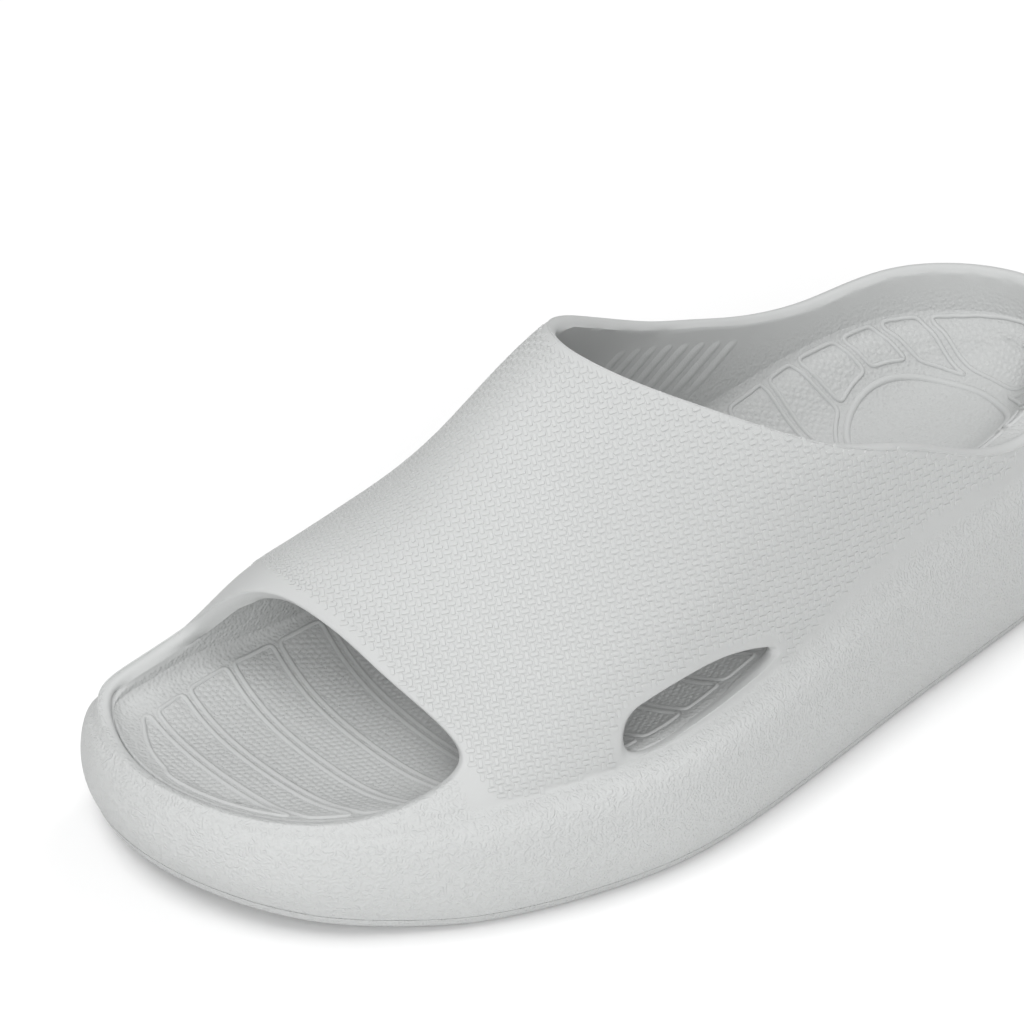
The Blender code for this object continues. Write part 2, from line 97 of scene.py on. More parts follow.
SOLE = table("along middle reach shoulder floor edge", (
    (0.00, -0.190, 0.776, 0.258, 0.229, 0.243),
    (0.04, -0.182, 0.775, 0.258, 0.227, 0.248),
    (0.10, -0.120, 0.655, 0.258, 0.224, 0.258),
    (0.18, -0.058, 0.591, 0.263, 0.224, 0.270),
    (0.27, -0.018, 0.552, 0.273, 0.229, 0.281),
    (0.36, 0.013, 0.518, 0.286, 0.239, 0.296),
    (0.45, 0.025, 0.475, 0.302, 0.258, 0.320),
    (0.55, 0.022, 0.439, 0.324, 0.281, 0.353),
    (0.67, 0.006, 0.428, 0.359, 0.315, 0.410),
    (0.80, -0.008, 0.462, 0.378, 0.344, 0.468),
    (0.91, -0.006, 0.525, 0.391, 0.353, 0.487),
    (1.00, 0.000, 0.542, 0.401, 0.363, 0.491),
))
UPPER = table("along valley lift outer_inset outer_height "
              "inner_inset inner_height low high floor_inset", (
    (0.000, 0.031, 0.003, 0.043, 0.272, 0.043, 0.272, 0.33, 0.66, 0.081),
    (0.050, 0.031, 0.003, 0.043, 0.273, 0.043, 0.296, 0.33, 0.66, 0.081),
    (0.100, 0.034, 0.003, 0.051, 0.282, 0.047, 0.318, 0.33, 0.66, 0.086),
    (0.145, 0.043, 0.003, 0.077, 0.310, 0.059, 0.354, 0.30, 0.64, 0.090),
    (0.185, 0.057, 0.003, 0.123, 0.358, 0.079, 0.448, 0.22, 0.58, 0.090),
    (0.250, 0.067, 0.003, 0.114, 0.429, 0.099, 0.496, 0.12, 0.52, 0.090),
    (0.310, 0.069, 0.003, 0.106, 0.487, 0.103, 0.539, 0.10, 0.50, 0.090),
    (0.390, 0.069, 0.003, 0.102, 0.539, 0.101, 0.587, 0.14, 0.46, 0.090),
    (0.470, 0.067, 0.004, 0.096, 0.601, 0.094, 0.639, 0.18, 0.42, 0.090),
    (0.550, 0.060, 0.010, 0.074, 0.668, 0.081, 0.692, 0.26, 0.54, 0.090),
    (0.620, 0.051, 0.019, 0.056, 0.711, 0.067, 0.701, 0.33, 0.66, 0.090),
    (0.700, 0.043, 0.025, 0.045, 0.606, 0.058, 0.630, 0.33, 0.66, 0.095),
    (0.800, 0.038, 0.029, 0.042, 0.491, 0.054, 0.587, 0.33, 0.66, 0.095),
    (0.880, 0.038, 0.029, 0.051, 0.496, 0.060, 0.620, 0.33, 0.66, 0.099),
    (0.950, 0.038, 0.029, 0.069, 0.573, 0.070, 0.628, 0.33, 0.66, 0.108),
    (1.000, 0.038, 0.029, 0.078, 0.625, 0.078, 0.625, 0.33, 0.66, 0.108),
))
FRONT_EDGE = table("side along height", (
    (0.280, 0.185, 0.367),
    (0.244, 0.182, 0.406),
    (0.176, 0.175, 0.453),
    (0.099, 0.165, 0.506),
    (0.018, 0.162, 0.549),
    (-0.068, 0.158, 0.577),
    (-0.144, 0.155, 0.592),
    (-0.208, 0.151, 0.582),
    (-0.280, 0.145, 0.534),
    (-0.334, 0.140, 0.472),
    (-0.397, 0.140, 0.401),
))
REAR_EDGE = table("side along height", (
    (0.384, 0.620, 0.716),
    (0.370, 0.564, 0.773),
    (0.325, 0.516, 0.840),
    (0.262, 0.473, 0.902),
    (0.171, 0.429, 0.959),
    (0.072, 0.402, 1.002),
    (-0.036, 0.395, 1.018),
    (-0.126, 0.418, 0.997),
    (-0.203, 0.469, 0.930),
    (-0.271, 0.527, 0.835),
    (-0.316, 0.578, 0.759),
    (-0.338, 0.620, 0.701),
))
BAND_DIP = table("along drop", (
    (0.00, 0.000),
    (0.20, 0.048),
    (0.38, 0.062),
    (0.55, 0.047),
    (0.75, 0.021),
    (1.00, 0.000),
))
print("tables:", len(SOLE["along"]), "sole rows,", len(UPPER["along"]), "upper rows")

# %% [markdown]
# ## Camera first
# The photograph looks down at the outer side of the shoe from in front, with a long lens.
# The camera is placed before anything else, because every later choice is judged through it.
# The heel runs out of the right side of the picture, as it does in the photograph.

# %% Camera
def direction(azimuth, elevation):
    """Unit vector toward a place seen from the middle: azimuth 0 is ahead of the toe."""
    level = math.cos(elevation)
    return Vector((math.sin(azimuth) * level, -math.cos(azimuth) * level, math.sin(elevation)))


def add_object(name, data):
    thing = bpy.data.objects.new(name, data)
    bpy.context.scene.collection.objects.link(thing)
    return thing


PICTURE = 1024
SENSOR = 36
FOCAL_PIXELS = 4242.6
AZIMUTH = math.radians(49.1)
ELEVATION = math.radians(32.1)
DISTANCE = 1.02545
ORIGIN_PIXEL = (650.9, 697.6)


def add_camera():
    back = direction(AZIMUTH, ELEVATION)
    right = Vector((math.cos(AZIMUTH), math.sin(AZIMUTH), 0))
    up = back.cross(right)
    aside = -(ORIGIN_PIXEL[0] - PICTURE / 2) / FOCAL_PIXELS * DISTANCE
    above = (ORIGIN_PIXEL[1] - PICTURE / 2) / FOCAL_PIXELS * DISTANCE
    data = bpy.data.cameras.new("camera")
    data.sensor_width = SENSOR
    data.lens = FOCAL_PIXELS * SENSOR / PICTURE
    data.clip_start = 0.01
    camera = add_object("camera", data)
    camera.rotation_euler = back.to_track_quat("Z", "Y").to_euler()
    camera.location = back * DISTANCE + right * aside + up * above + SHIFT
    bpy.context.scene.camera = camera
    return camera


CAMERA = add_camera()
print("camera lens %.1f mm at %.2f m" % (CAMERA.data.lens, CAMERA.location.length))

# %% [markdown]
# ## Curves and the outline of the sole
# A cubic through the knots of a table gives a value anywhere along the foot. The outline
# of the sole is then a closed line that starts at the toe and comes back along the inner
# side. Columns are spread along it, and every later row of the body shares them.

# %% Curves and outline
def smooth_curve(at, knots, values):
    """Value of a smooth curve through the knots, as a cubic with gentle slopes."""
    steps = np.diff(knots)
    rises = np.diff(values) / steps
    weight = steps[1:] / (steps[:-1] + steps[1:])
    slopes = np.concatenate([rises[:1], weight * rises[:-1] + (1 - weight) * rises[1:], rises[-1:]])
    at = np.clip(np.asarray(at, float), knots[0], knots[-1])
    cell = np.clip(np.searchsorted(knots, at, side="right") - 1, 0, len(steps) - 1)
    width = steps[cell]
    part = (at - knots[cell]) / width
    rest = 1 - part
    start = values[cell] * (1 + 2 * part) * rest ** 2 + slopes[cell] * width * part * rest ** 2
    end = values[cell + 1] * part ** 2 * (3 - 2 * part) - slopes[cell + 1] * width * part ** 2 * rest
    return start + end


def look_up(rows, name, along):
    """One column of a table at a share of the length."""
    return smooth_curve(along, rows["along"], rows[name])


def arc_lengths(run):
    return np.concatenate([[0], np.cumsum(np.linalg.norm(np.diff(run, axis=0), axis=1))])


def edge_curve(rows, count):
    """Points at equal steps along a free edge of the band."""
    knots = np.stack([
        rows["side"] * WIDTH,
        (rows["along"] - 0.5) * LENGTH,
        rows["height"] * INSTEP_HEIGHT,
    ], 1)
    run = arc_lengths(knots)
    at = np.linspace(0, run[-1], count)
    return np.stack([smooth_curve(at, run, knots[:, axis]) for axis in range(3)], 1)


def widest_line(turn):
    """Places on the widest line: turn 0 is the toe, pi the heel, and the outer side comes first."""
    turn = np.mod(turn, 2 * math.pi)
    outer = turn <= math.pi
    turn = np.where(outer, turn, 2 * math.pi - turn)
    along = (1 - np.cos(turn)) / 2
    half = look_up(SOLE, "reach", along) * WIDTH * np.sin(turn)
    side = look_up(SOLE, "middle", along) * WIDTH + np.where(outer, half, -half)
    return np.stack([side, (along - 0.5) * LENGTH], 1), along, outer


def outward(turn):
    """Direction in plan that points away from the foot."""
    step = 0.01
    run = widest_line(turn + step)[0] - widest_line(turn - step)[0]
    run /= np.linalg.norm(run, axis=1)[:, None]
    return np.stack([run[:, 1], -run[:, 0]], 1)


def turn_at(along):
    """Turn on the outer side at a share of the length."""
    return math.acos(1 - 2 * along)


def spread_turns(first, last, count):
    """Turns at equal steps along the widest line."""
    dense = np.linspace(first, last, 400)
    run = arc_lengths(widest_line(dense)[0])
    return np.interp(np.linspace(0, run[-1], count + 1), run, dense)


def ring_turns():
    """Turns of all columns, from the middle of the toe along the outer side."""
    outer = [turn_at(along) for along in OUTER_VAMP_COLUMNS]
    inner = [2 * math.pi - turn_at(along) for along in reversed(INNER_VAMP_COLUMNS)]
    return np.concatenate([
        spread_turns(TOE_MIDDLE, outer[0], TOE_COLUMNS)[:-1],
        outer[:-1],
        spread_turns(outer[-1], math.pi, HEEL_COLUMNS)[:-1],
        spread_turns(math.pi, inner[0], HEEL_COLUMNS)[:-1],
        inner[:-1],
        spread_turns(inner[-1], 2 * math.pi + TOE_MIDDLE, TOE_COLUMNS)[:-1],
    ])


TURNS = ring_turns()
PLACES, ALONG, OUTER_SIDE = widest_line(TURNS)
OUTWARD = outward(TURNS)
COLUMNS = len(TURNS)
VAMP_CELLS = len(OUTER_VAMP_COLUMNS) - 1
TOE_OUTER = TOE_COLUMNS
COLLAR_OUTER = TOE_OUTER + VAMP_CELLS
COLLAR_INNER = COLLAR_OUTER + 2 * HEEL_COLUMNS
TOE_INNER = COLLAR_INNER + VAMP_CELLS
SLOT_COLUMNS = range(TOE_OUTER + SLOT_FIRST, TOE_OUTER + SLOT_LAST)


def ring_row(inset, height):
    """One row of points around the shoe, set in from the widest line."""
    inset = np.broadcast_to(inset, COLUMNS)
    plan = PLACES - OUTWARD * inset[:, None]
    return np.column_stack([plan, np.broadcast_to(height, COLUMNS)])


def by_side(outer_name, inner_name):
    """A column of the upper's table that differs from side to side."""
    outer = look_up(UPPER, outer_name, ALONG)
    return np.where(OUTER_SIDE, outer, look_up(UPPER, inner_name, ALONG))


TOE_LIFT = TOE_SPRING * np.clip(1 - ALONG / TOE_SPRING_END, 0, 1) ** 2
HEEL_LIFT = HEEL_BEVEL * np.clip((ALONG - HEEL_BEVEL_START) / (1 - HEEL_BEVEL_START), 0, 1) ** 2
BASE = TOE_LIFT + HEEL_LIFT
SHOULDER = look_up(SOLE, "shoulder", ALONG) * INSTEP_HEIGHT
FLOOR = look_up(SOLE, "floor", ALONG) * INSTEP_HEIGHT
FLOOR_INSET = look_up(UPPER, "floor_inset", ALONG) * WIDTH
FLOOR_EDGE = look_up(SOLE, "edge", ALONG) * INSTEP_HEIGHT
TUB = FLOOR - INSOLE_THICKNESS
print("outline:", COLUMNS, "columns")

# %% [markdown]
# ## Mesh helpers
# A smooth moulded body is easiest to control as a coarse cage of four-sided faces under a
# Subdivision Surface. The cage also carries a number for each point, which says how much
# of each grain the mould has there. Subdivision spreads those numbers with the shape, and
# the material reads them as attributes.

# %% Cage and helpers
def new_mesh(name, points, edges=(), faces=()):
    data = bpy.data.meshes.new(name)
    data.from_pydata([tuple(p) for p in points], list(edges), list(faces))
    return data


def add_attribute(data, name, values, kind="FLOAT", domain="POINT"):
    field = "vector" if kind == "FLOAT_VECTOR" else "value"
    data.attributes.new(name, kind, domain).data.foreach_set(field, values)


@contextmanager
def editing(data):
    """A mesh opened for editing and written back at the end."""
    mesh = bmesh.new()
    mesh.from_mesh(data)
    yield mesh
    mesh.to_mesh(data)
    mesh.free()


def plain_mesh(holder):
    """What an object evaluates to, as a mesh with no modifier."""
    graph = bpy.context.evaluated_depsgraph_get()
    return bpy.data.meshes.new_from_object(holder.evaluated_get(graph), depsgraph=graph)


class Cage:
    """Points, faces and grain marks gathered before they are refined."""

    def __init__(self):
        self.points, self.faces = [], []
        self.marks = {"maze": [], "pebble": []}
        self.creases, self.corners = {}, {}

    def add_row(self, row, maze=0.0, pebble=0.0):
        first = len(self.points)
        self.points.extend(np.asarray(row, float))
        for name, value in (("maze", maze), ("pebble", pebble)):
            self.marks[name].extend(np.broadcast_to(value, len(row)))
        return list(range(first, first + len(row)))

    def add_ring_strip(self, low, high, skip=()):
        for c in range(len(low)):
            after = (c + 1) % len(low)
            if c not in skip:
                self.faces.append((low[c], low[after], high[after], high[c]))

    def add_strips(self, loops):
        for low, high in zip(loops, loops[1:]):
            self.add_ring_strip(low, high)

    def add_grid(self, grid):
        for row, after in zip(grid, grid[1:]):
            for j in range(len(row) - 1):
                self.faces.append((row[j], after[j], after[j + 1], row[j + 1]))

    def crease_loop(self, loop, rounds):
        """Keep the edges of a loop sharp for some rounds of refining."""
        for a, b in zip(loop, loop[1:] + loop[:1]):
            self.creases[min(a, b), max(a, b)] = math.sqrt(rounds / 10)

    def normals(self):
        """Normals of the points, from the faces that meet there."""
        points = np.array(self.points)
        total = np.zeros_like(points)
        for face in self.faces:
            a, b, c, d = points[list(face)]
            total[list(face)] += np.cross(c - a, d - b)
        return total / np.maximum(np.linalg.norm(total, axis=1), 1e-12)[:, None]

    def refined(self, levels):
        """The cage as a smooth mesh, with its marks kept as attributes."""
        data = new_mesh("cage", self.points, faces=self.faces)
        for name, values in self.marks.items():
            add_attribute(data, name, values)
        edges = [self.creases.get(tuple(sorted(e.vertices)), 0.0) for e in data.edges]
        add_attribute(data, "crease_edge", edges, domain="EDGE")
        corners = [math.sqrt(self.corners.get(k, 0) / 10) for k in range(len(self.points))]
        add_attribute(data, "crease_vert", corners)
        holder = add_object("cage", data)
        modifier = holder.modifiers.new("refine", "SUBSURF")
        modifier.levels = modifier.render_levels = levels
        smooth = plain_mesh(holder)
        bpy.data.objects.remove(holder)
        return smooth


def border_near(mesh, place):
    """The open border that passes nearest to a place, in order, starting there."""
    ends = {v for e in mesh.edges if e.is_boundary for v in e.verts}
    first = min(ends, key=lambda v: (v.co - place).length)
    loop, before = [first], None
    while True:
        onward = [e.other_vert(loop[-1]) for e in loop[-1].link_edges if e.is_boundary]
        onward = [v for v in onward if v is not before]
        before = loop[-1]
        if onward[0] is first or (len(loop) > 2 and first in onward):
            return loop
        loop.append(onward[0])


def close_border(mesh, place):
    """Close one border with strips from the outer side to the inner side."""
    loop = border_near(mesh, place)
    half = len(loop) // 2
    faces = [mesh.faces.new((loop[0], loop[1], loop[-1]))]
    for k in range(1, half - 1):
        faces.append(mesh.faces.new((loop[k], loop[k + 1], loop[-k - 1], loop[-k])))
    faces.append(mesh.faces.new((loop[half - 1], loop[half], loop[half + 1])))
    return faces


def finished(name, data, material, sharp=60):
    """A finished piece: outward faces, smooth shading, its finish and its body."""
    with editing(data) as mesh:
        bmesh.ops.translate(mesh, verts=mesh.verts, vec=SHIFT)
        bmesh.ops.recalc_face_normals(mesh, faces=mesh.faces)
    data.name = name
    data.materials.clear()
    data.materials.append(material)
    data.shade_smooth()
    data.set_sharp_from_angle(angle=math.radians(sharp))
    piece = add_object(name, data)
    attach(piece, "root")
    data.calc_loop_triangles()
    print("%s: %d triangles" % (name, len(data.loop_triangles)))
    return piece


# %% [markdown]
# ## Foam finishes
# The whole shoe is one grey foam: matt, slightly soft to the light and never mirror-like.
# What changes from place to place is the mould's own texture, so one recipe makes every
# finish. A maze grain, like wrinkled leather, is a smooth noise cut by a sine wave. A
# pebble grain is rounded Voronoi cells. Both feed one Bump node and are weighed by the
# marks on the mesh. An image texture would stretch over the curves, and these do not.

# %% Foam recipe
FOAM_GREY = (0.497, 0.505, 0.502)
MAZE_SCALE = 1040.0
MAZE_WAVES = 11.0
PEBBLE_SCALE = 1200.0
PORE_SCALE = 2600.0
PORE_HEIGHT = 0.03
FOAM_SHINE = 0.35
TONE_SCALE = 22.0
TONE_CHANGE = 0.015
MARK_STEPS = {"maze": (0.35, 0.65), "pebble": (0.15, 0.6)}


class Nodes:
    """Adds nodes to a tree. An input is given as a value, or as the socket that feeds it."""

    def __init__(self, tree):
        self.tree = tree

    def give(self, node, name, value):
        if isinstance(value, bpy.types.NodeSocket):
            self.tree.links.new(value, node.inputs[name])
        else:
            node.inputs[name].default_value = value

    def node(self, kind, inputs=None, **settings):
        made = self.tree.nodes.new(kind)
        for name, value in settings.items():
            setattr(made, name, value)
        for name, value in (inputs or {}).items():
            self.give(made, name, value)
        return made

    def maths(self, operation, first, second=0.0, third=0.0):
        inputs = {0: first, 1: second, 2: third}
        return self.node("ShaderNodeMath", inputs, operation=operation).outputs[0]


def new_material(name, roughness, shine):
    """A material, its nodes and its shader."""
    material = bpy.data.materials.new(name)
    material.use_nodes = True
    shader = material.node_tree.nodes["Principled BSDF"]
    shader.inputs["Roughness"].default_value = roughness
    shader.inputs["Specular IOR Level"].default_value = shine
    return material, Nodes(material.node_tree), shader


def maze_height(nodes, place):
    """Winding ridges: a smooth noise read through a sine wave."""
    noise = nodes.node("ShaderNodeTexNoise", {"Vector": place, "Scale": MAZE_SCALE, "Detail": 0.0})
    wave = nodes.maths("SINE", nodes.maths("MULTIPLY", noise.outputs["Fac"], MAZE_WAVES))
    return nodes.maths("MULTIPLY_ADD", wave, 0.5, 0.5)


def pebble_height(nodes, place):
    """Rounded pebbles, from soft cells."""
    inputs = {"Vector": place, "Scale": PEBBLE_SCALE, "Randomness": 0.9}
    cells = nodes.node("ShaderNodeTexVoronoi", inputs, feature="SMOOTH_F1")
    return nodes.maths("SUBTRACT", 1.0, cells.outputs["Distance"])


def foam_finish(name, brightness, roughness, maze=0.0, pebble=0.0, marked=True):
    """Matt foam whose grain is weighed by the marks on the mesh."""
    material, nodes, shader = new_material(name, roughness, FOAM_SHINE)
    place = nodes.node("ShaderNodeTexCoord").outputs["Object"]
    tone = nodes.node("ShaderNodeTexNoise", {"Vector": place, "Scale": TONE_SCALE, "Detail": 2.0})
    mix = nodes.node("ShaderNodeMix", {"Factor": tone.outputs["Fac"]}, data_type="RGBA")
    for side, change in (("A", 1 - TONE_CHANGE), ("B", 1 + TONE_CHANGE)):
        mix.inputs[side].default_value = (*[c * brightness * change for c in FOAM_GREY], 1)
    nodes.give(shader, "Base Color", mix.outputs["Result"])
    heights = []
    for mark, amount, grain in (("maze", maze, maze_height), ("pebble", pebble, pebble_height)):
        if not amount:
            continue
        weight = 1.0
        if marked:
            carried = nodes.node("ShaderNodeAttribute", attribute_name=mark).outputs["Fac"]
            low, high = MARK_STEPS[mark]
            inputs = {"Value": carried, "From Min": low, "From Max": high}
            weight = nodes.node("ShaderNodeMapRange", inputs,
                                interpolation_type="SMOOTHSTEP").outputs["Result"]
        amount = nodes.maths("MULTIPLY", weight, amount)
        heights.append(nodes.maths("MULTIPLY", grain(nodes, place), amount))
    pores = nodes.node("ShaderNodeTexNoise", {"Vector": place, "Scale": PORE_SCALE, "Detail": 0.0})
    heights.append(nodes.maths("MULTIPLY", pores.outputs["Fac"], PORE_HEIGHT))
    total = heights[0]
    for height in heights[1:]:
        total = nodes.maths("ADD", total, height)
    bump = nodes.node("ShaderNodeBump", {"Height": total, "Strength": 1.0, "Distance": MM})
    nodes.give(shader, "Normal", bump.outputs["Normal"])
    return material


BODY_FINISH = foam_finish("body_foam", 1, 0.62, maze=0.14, pebble=0.38)
WEAVE_FINISH = foam_finish("weave_foam", 1, 0.60)
BED_FINISH = foam_finish("bed_foam", 0.97, 0.66, pebble=0.30)
RELIEF_FINISH = foam_finish("relief_foam", 1, 0.60)
SOLE_FINISH = foam_finish("sole_foam", 0.97, 0.68, maze=0.14, marked=False)
print("finishes:", [material.name for material in bpy.data.materials])

# %% [markdown]
# ## The body
# Upper and midsole are one moulding: a bulging side, a soft shoulder, a valley, the wall
# and the band over the foot. It could be sculpted, or cut out of a block with Booleans,
# but then the wall would not keep one thickness. Here an outer sheet is built row by row,
# the inner sheet is the same sheet moved in by the wall, and lips join the two.

# %% Rows of the body
def outer_rows():
    """Rows of the outer face, from the parting line up to the edge of the band."""
    rise = SHOULDER - BASE
    valley_inset = look_up(UPPER, "valley", ALONG) * WIDTH
    valley_height = SHOULDER + look_up(UPPER, "lift", ALONG) * INSTEP_HEIGHT
    top_inset = by_side("outer_inset", "inner_inset") * WIDTH
    top_height = by_side("outer_height", "inner_height") * INSTEP_HEIGHT
    rows = [
        ring_row(OUTSOLE_INSET, BASE + OUTSOLE_THICKNESS),
        ring_row(0.6 * MM, BASE + 0.32 * rise),
        ring_row(-0.3 * MM, BASE + 0.62 * rise),
        ring_row(1.4 * MM, SHOULDER - 0.4 * MM),
        ring_row(valley_inset, valley_height),
    ]

    def wall_row(share):
        """A row part of the way from the valley to the top."""
        inset = valley_inset + (top_inset - valley_inset) * share ** 1.2
        return ring_row(inset, valley_height + (top_height - valley_height) * share)

    for name, slot_edge in (("low", SLOT_LOW), ("high", SLOT_HIGH)):
        row = wall_row(look_up(UPPER, name, ALONG))
        for k, (column, share) in enumerate(slot_edge):
            near = wall_row(share)
            first = int(column)
            before, after = near[first], near[first + 1]
            row[TOE_OUTER + SLOT_FIRST + k] = before + (after - before) * (column - first)
        rows.append(row)
    rows.append(ring_row(top_inset, top_height))
    return rows


def joined_edge(rows, first, last):
    """A free edge of the band whose ends meet the ring."""
    curve = edge_curve(rows, ACROSS + 1)
    share = np.linspace(0, 1, ACROSS + 1)[:, None]
    return curve + (1 - share) ** 2 * (first - curve[0]) + share ** 2 * (last - curve[-1])


def band_points(top_row):
    """Points of the band over the foot, between its two free edges and its two sides."""
    outer = top_row[TOE_OUTER:COLLAR_OUTER + 1]
    inner = top_row[COLLAR_INNER:TOE_INNER + 1][::-1]
    front = joined_edge(FRONT_EDGE, outer[0], inner[0])
    rear = joined_edge(REAR_EDGE, outer[-1], inner[-1])
    grid = np.zeros((VAMP_CELLS + 1, ACROSS + 1, 3))
    for i in range(VAMP_CELLS + 1):
        u = i / VAMP_CELLS
        dip = look_up(BAND_DIP, "drop", u) * INSTEP_HEIGHT
        for j in range(ACROSS + 1):
            v = j / ACROSS
            lengthwise = (1 - u) * front[j] + u * rear[j]
            sideways = (1 - v) * outer[i] + v * inner[i]
            ends = [(1 - v) * edge[0] + v * edge[-1] for edge in (front, rear)]
            grid[i, j] = lengthwise + sideways - ((1 - u) * ends[0] + u * ends[1])
            grid[i, j, 2] -= dip * math.sin(math.pi * v) * (0.6 + 0.6 * v)
    return grid


def ring_and_band(cage, rows, grid, skip, marks):
    """Rows of the ring and the band on top, as one open sheet of the cage."""
    ids = [cage.add_row(row, **mark) for row, mark in zip(rows, marks)]
    for k in range(len(rows) - 1):
        cage.add_ring_strip(ids[k], ids[k + 1], skip if k == len(rows) - 3 else ())
    band = []
    for i in range(VAMP_CELLS + 1):
        middle = cage.add_row(grid[i][1:-1])
        band.append([ids[-1][TOE_OUTER + i]] + middle + [ids[-1][TOE_INNER - i]])
    cage.add_grid(band)
    return ids, band


def rim_loops(ids, band):
    """The points around the toe opening and the collar, each with the points just inside it."""
    top, below = ids[-1], ids[-2]
    toe_arc = list(range(TOE_INNER, COLUMNS)) + list(range(TOE_OUTER + 1))
    toe = [(top[c], [below[c]]) for c in toe_arc]
    toe[0][1].append(band[1][-1])
    toe[-1][1].append(band[1][0])
    toe += [(band[0][j], [band[1][j]]) for j in range(1, ACROSS)]
    collar = [(top[c], [below[c]]) for c in range(COLLAR_OUTER, COLLAR_INNER + 1)]
    collar[0][1].append(band[-2][0])
    collar[-1][1].append(band[-2][-1])
    collar += [(band[-1][j], [band[-2][j]]) for j in range(ACROSS - 1, 0, -1)]
    return toe, collar


def edge_way(points, rim, near):
    """Direction in which the surface would go on beyond a rim point."""
    away = sum((points[rim] - points[n]) / np.linalg.norm(points[rim] - points[n]) for n in near)
    return away / np.linalg.norm(away)


# %% Body cage
SLOT_CORNERS = {0: 2, 4: 1, 9: 1}
BAND_LIP_RISE = (0.5 * MM, 1.0 * MM)
SLOT_SILL_DROP = 1.0 * MM
SLOT_NARROWING = 0.94
TOE_GRAIN = ((0.15, 0.60), (1.0, 0.42))
OUTER_CREASE = 2
INNER_TOE_CREASE = 1.6


def grain_marks():
    """Grain of each row, outside and inside: the toe is all maze, and pebbles fade at the heel."""
    toe = np.where(ALONG < 0.5 * (OUTER_VAMP_COLUMNS[0] + INNER_VAMP_COLUMNS[0]), 1.0, 0.0)
    outer = [dict(maze=1.0)] * 3 + [
        dict(maze=np.maximum(toe, 0.85)),
        dict(maze=np.maximum(toe, 0.56), pebble=0.3 * (1 - toe)),
        dict(maze=np.maximum(toe, 0.2)),
        dict(maze=toe),
        dict(maze=0.9 * toe),
    ]
    grain = np.interp(ALONG, *TOE_GRAIN)
    return outer, [dict(pebble=grain)] * 3 + [dict(pebble=0.7 * grain), dict(pebble=0.05)]


def add_lips(cage, points, loops, last_ring_point):
    """Rounded lips from the outer to the inner sheet, and the outer points of each rim."""
    rims = []
    for k, (outer_loop, inner_loop) in enumerate(loops):
        outer_rim, inner_rim = ([point for point, _ in loop] for loop in (outer_loop, inner_loop))
        crest = []
        for (rim, near), back in zip(outer_loop, inner_rim):
            rise = LIP_RISE if rim <= last_ring_point else BAND_LIP_RISE[k]
            middle = (points[rim] + cage.points[back]) / 2
            crest.append(middle + edge_way(points, rim, near) * rise)
        cage.add_strips([outer_rim, cage.add_row(crest), inner_rim])
        cage.crease_loop(outer_rim, OUTER_CREASE)
        if k == 0:
            cage.crease_loop(inner_rim, INNER_TOE_CREASE)
        rims.append(points[outer_rim])
    return rims


def add_slot(cage, points, ids, inner_ids):
    """The edge of the slot through the wall, and its outer points."""
    there = list(range(SLOT_COLUMNS[0], SLOT_COLUMNS[-1] + 2))
    outer_hole, inner_hole = (
        [low[c] for c in there] + [high[c] for c in reversed(there)]
        for low, high in ((ids[5], ids[6]), (inner_ids[2], inner_ids[3])))
    middle = [0.55 * points[a] + 0.45 * cage.points[b] for a, b in zip(outer_hole, inner_hole)]
    centre = np.mean(middle, axis=0)
    waist = cage.add_row([centre + (p - centre) * SLOT_NARROWING for p in middle])
    cage.add_strips([outer_hole, waist, inner_hole])
    cage.crease_loop(outer_hole, OUTER_CREASE)
    for k, rounds in SLOT_CORNERS.items():
        cage.corners[outer_hole[k]] = rounds
    return points[outer_hole]


def body_cage():
    """The whole body as one cage, with the loops of its rims and of the slot."""
    cage = Cage()
    rows = outer_rows()
    outer_marks, inner_marks = grain_marks()
    ids, band = ring_and_band(cage, rows, band_points(rows[-1]), SLOT_COLUMNS, outer_marks)
    points = np.array(cage.points)
    inside = points - cage.normals() * WALL
    top = inside[ids[-1]]
    floor_row = ring_row(FLOOR_INSET, FLOOR_EDGE)
    on_band = np.zeros(COLUMNS, bool)
    on_band[TOE_OUTER:COLLAR_OUTER + 1] = True
    on_band[COLLAR_INNER:TOE_INNER + 1] = True
    low, high = (
        np.where(on_band[:, None], inside[ids[k]], top + (floor_row - top) * share)
        for k, share in ((5, 2 / 3), (6, 1 / 3)))
    low[list(SLOT_COLUMNS), 2] -= SLOT_SILL_DROP
    inner_rows = [ring_row(FLOOR_INSET, TUB), floor_row, low, high, top]
    inner_grid = [[inside[point] for point in row] for row in band]
    inner_ids, inner_band = ring_and_band(cage, inner_rows, inner_grid, SLOT_COLUMNS, inner_marks)
    loops = zip(rim_loops(ids, band), rim_loops(inner_ids, inner_band))
    rims = add_lips(cage, points, loops, ids[-1][-1])
    return cage, rims, add_slot(cage, points, ids, inner_ids), (rows[0], inner_rows[0])


CAGE, RIMS, SLOT_EDGE, OPEN_ROWS = body_cage()
BODY_MESH = CAGE.refined(FINE)
print("body cage: %d faces, refined %d" % (len(CAGE.faces), len(BODY_MESH.polygons)))

# %% [markdown]
# ## The woven pattern
# The mould has a basket weave cut into it: short raised bars, lying one along and one
# across, like parquet. Bump alone would leave the outline of the band smooth, so each bar
# is real. To place them, the surface is laid out flat first. Parallel slices cross the
# shoe, and each is walked from the valley on the outer side, over the foot, to the inner
# side. A grid of points on those walks is one patch of cloth that can be unrolled.

# %% Slice the outer surface
SLICE_TILT = math.radians(17)
SLICE_STEP = 1.2 * MM
SLICE_FIRST = -0.112
SLICE_LAST = 0.114
WALK_STEP = 0.8 * MM
FAN = np.radians(np.linspace(-112, 112, 449))
FAN_HEIGHT = 22 * MM
FAR = 0.16
LONGEST_STEP = 6 * MM


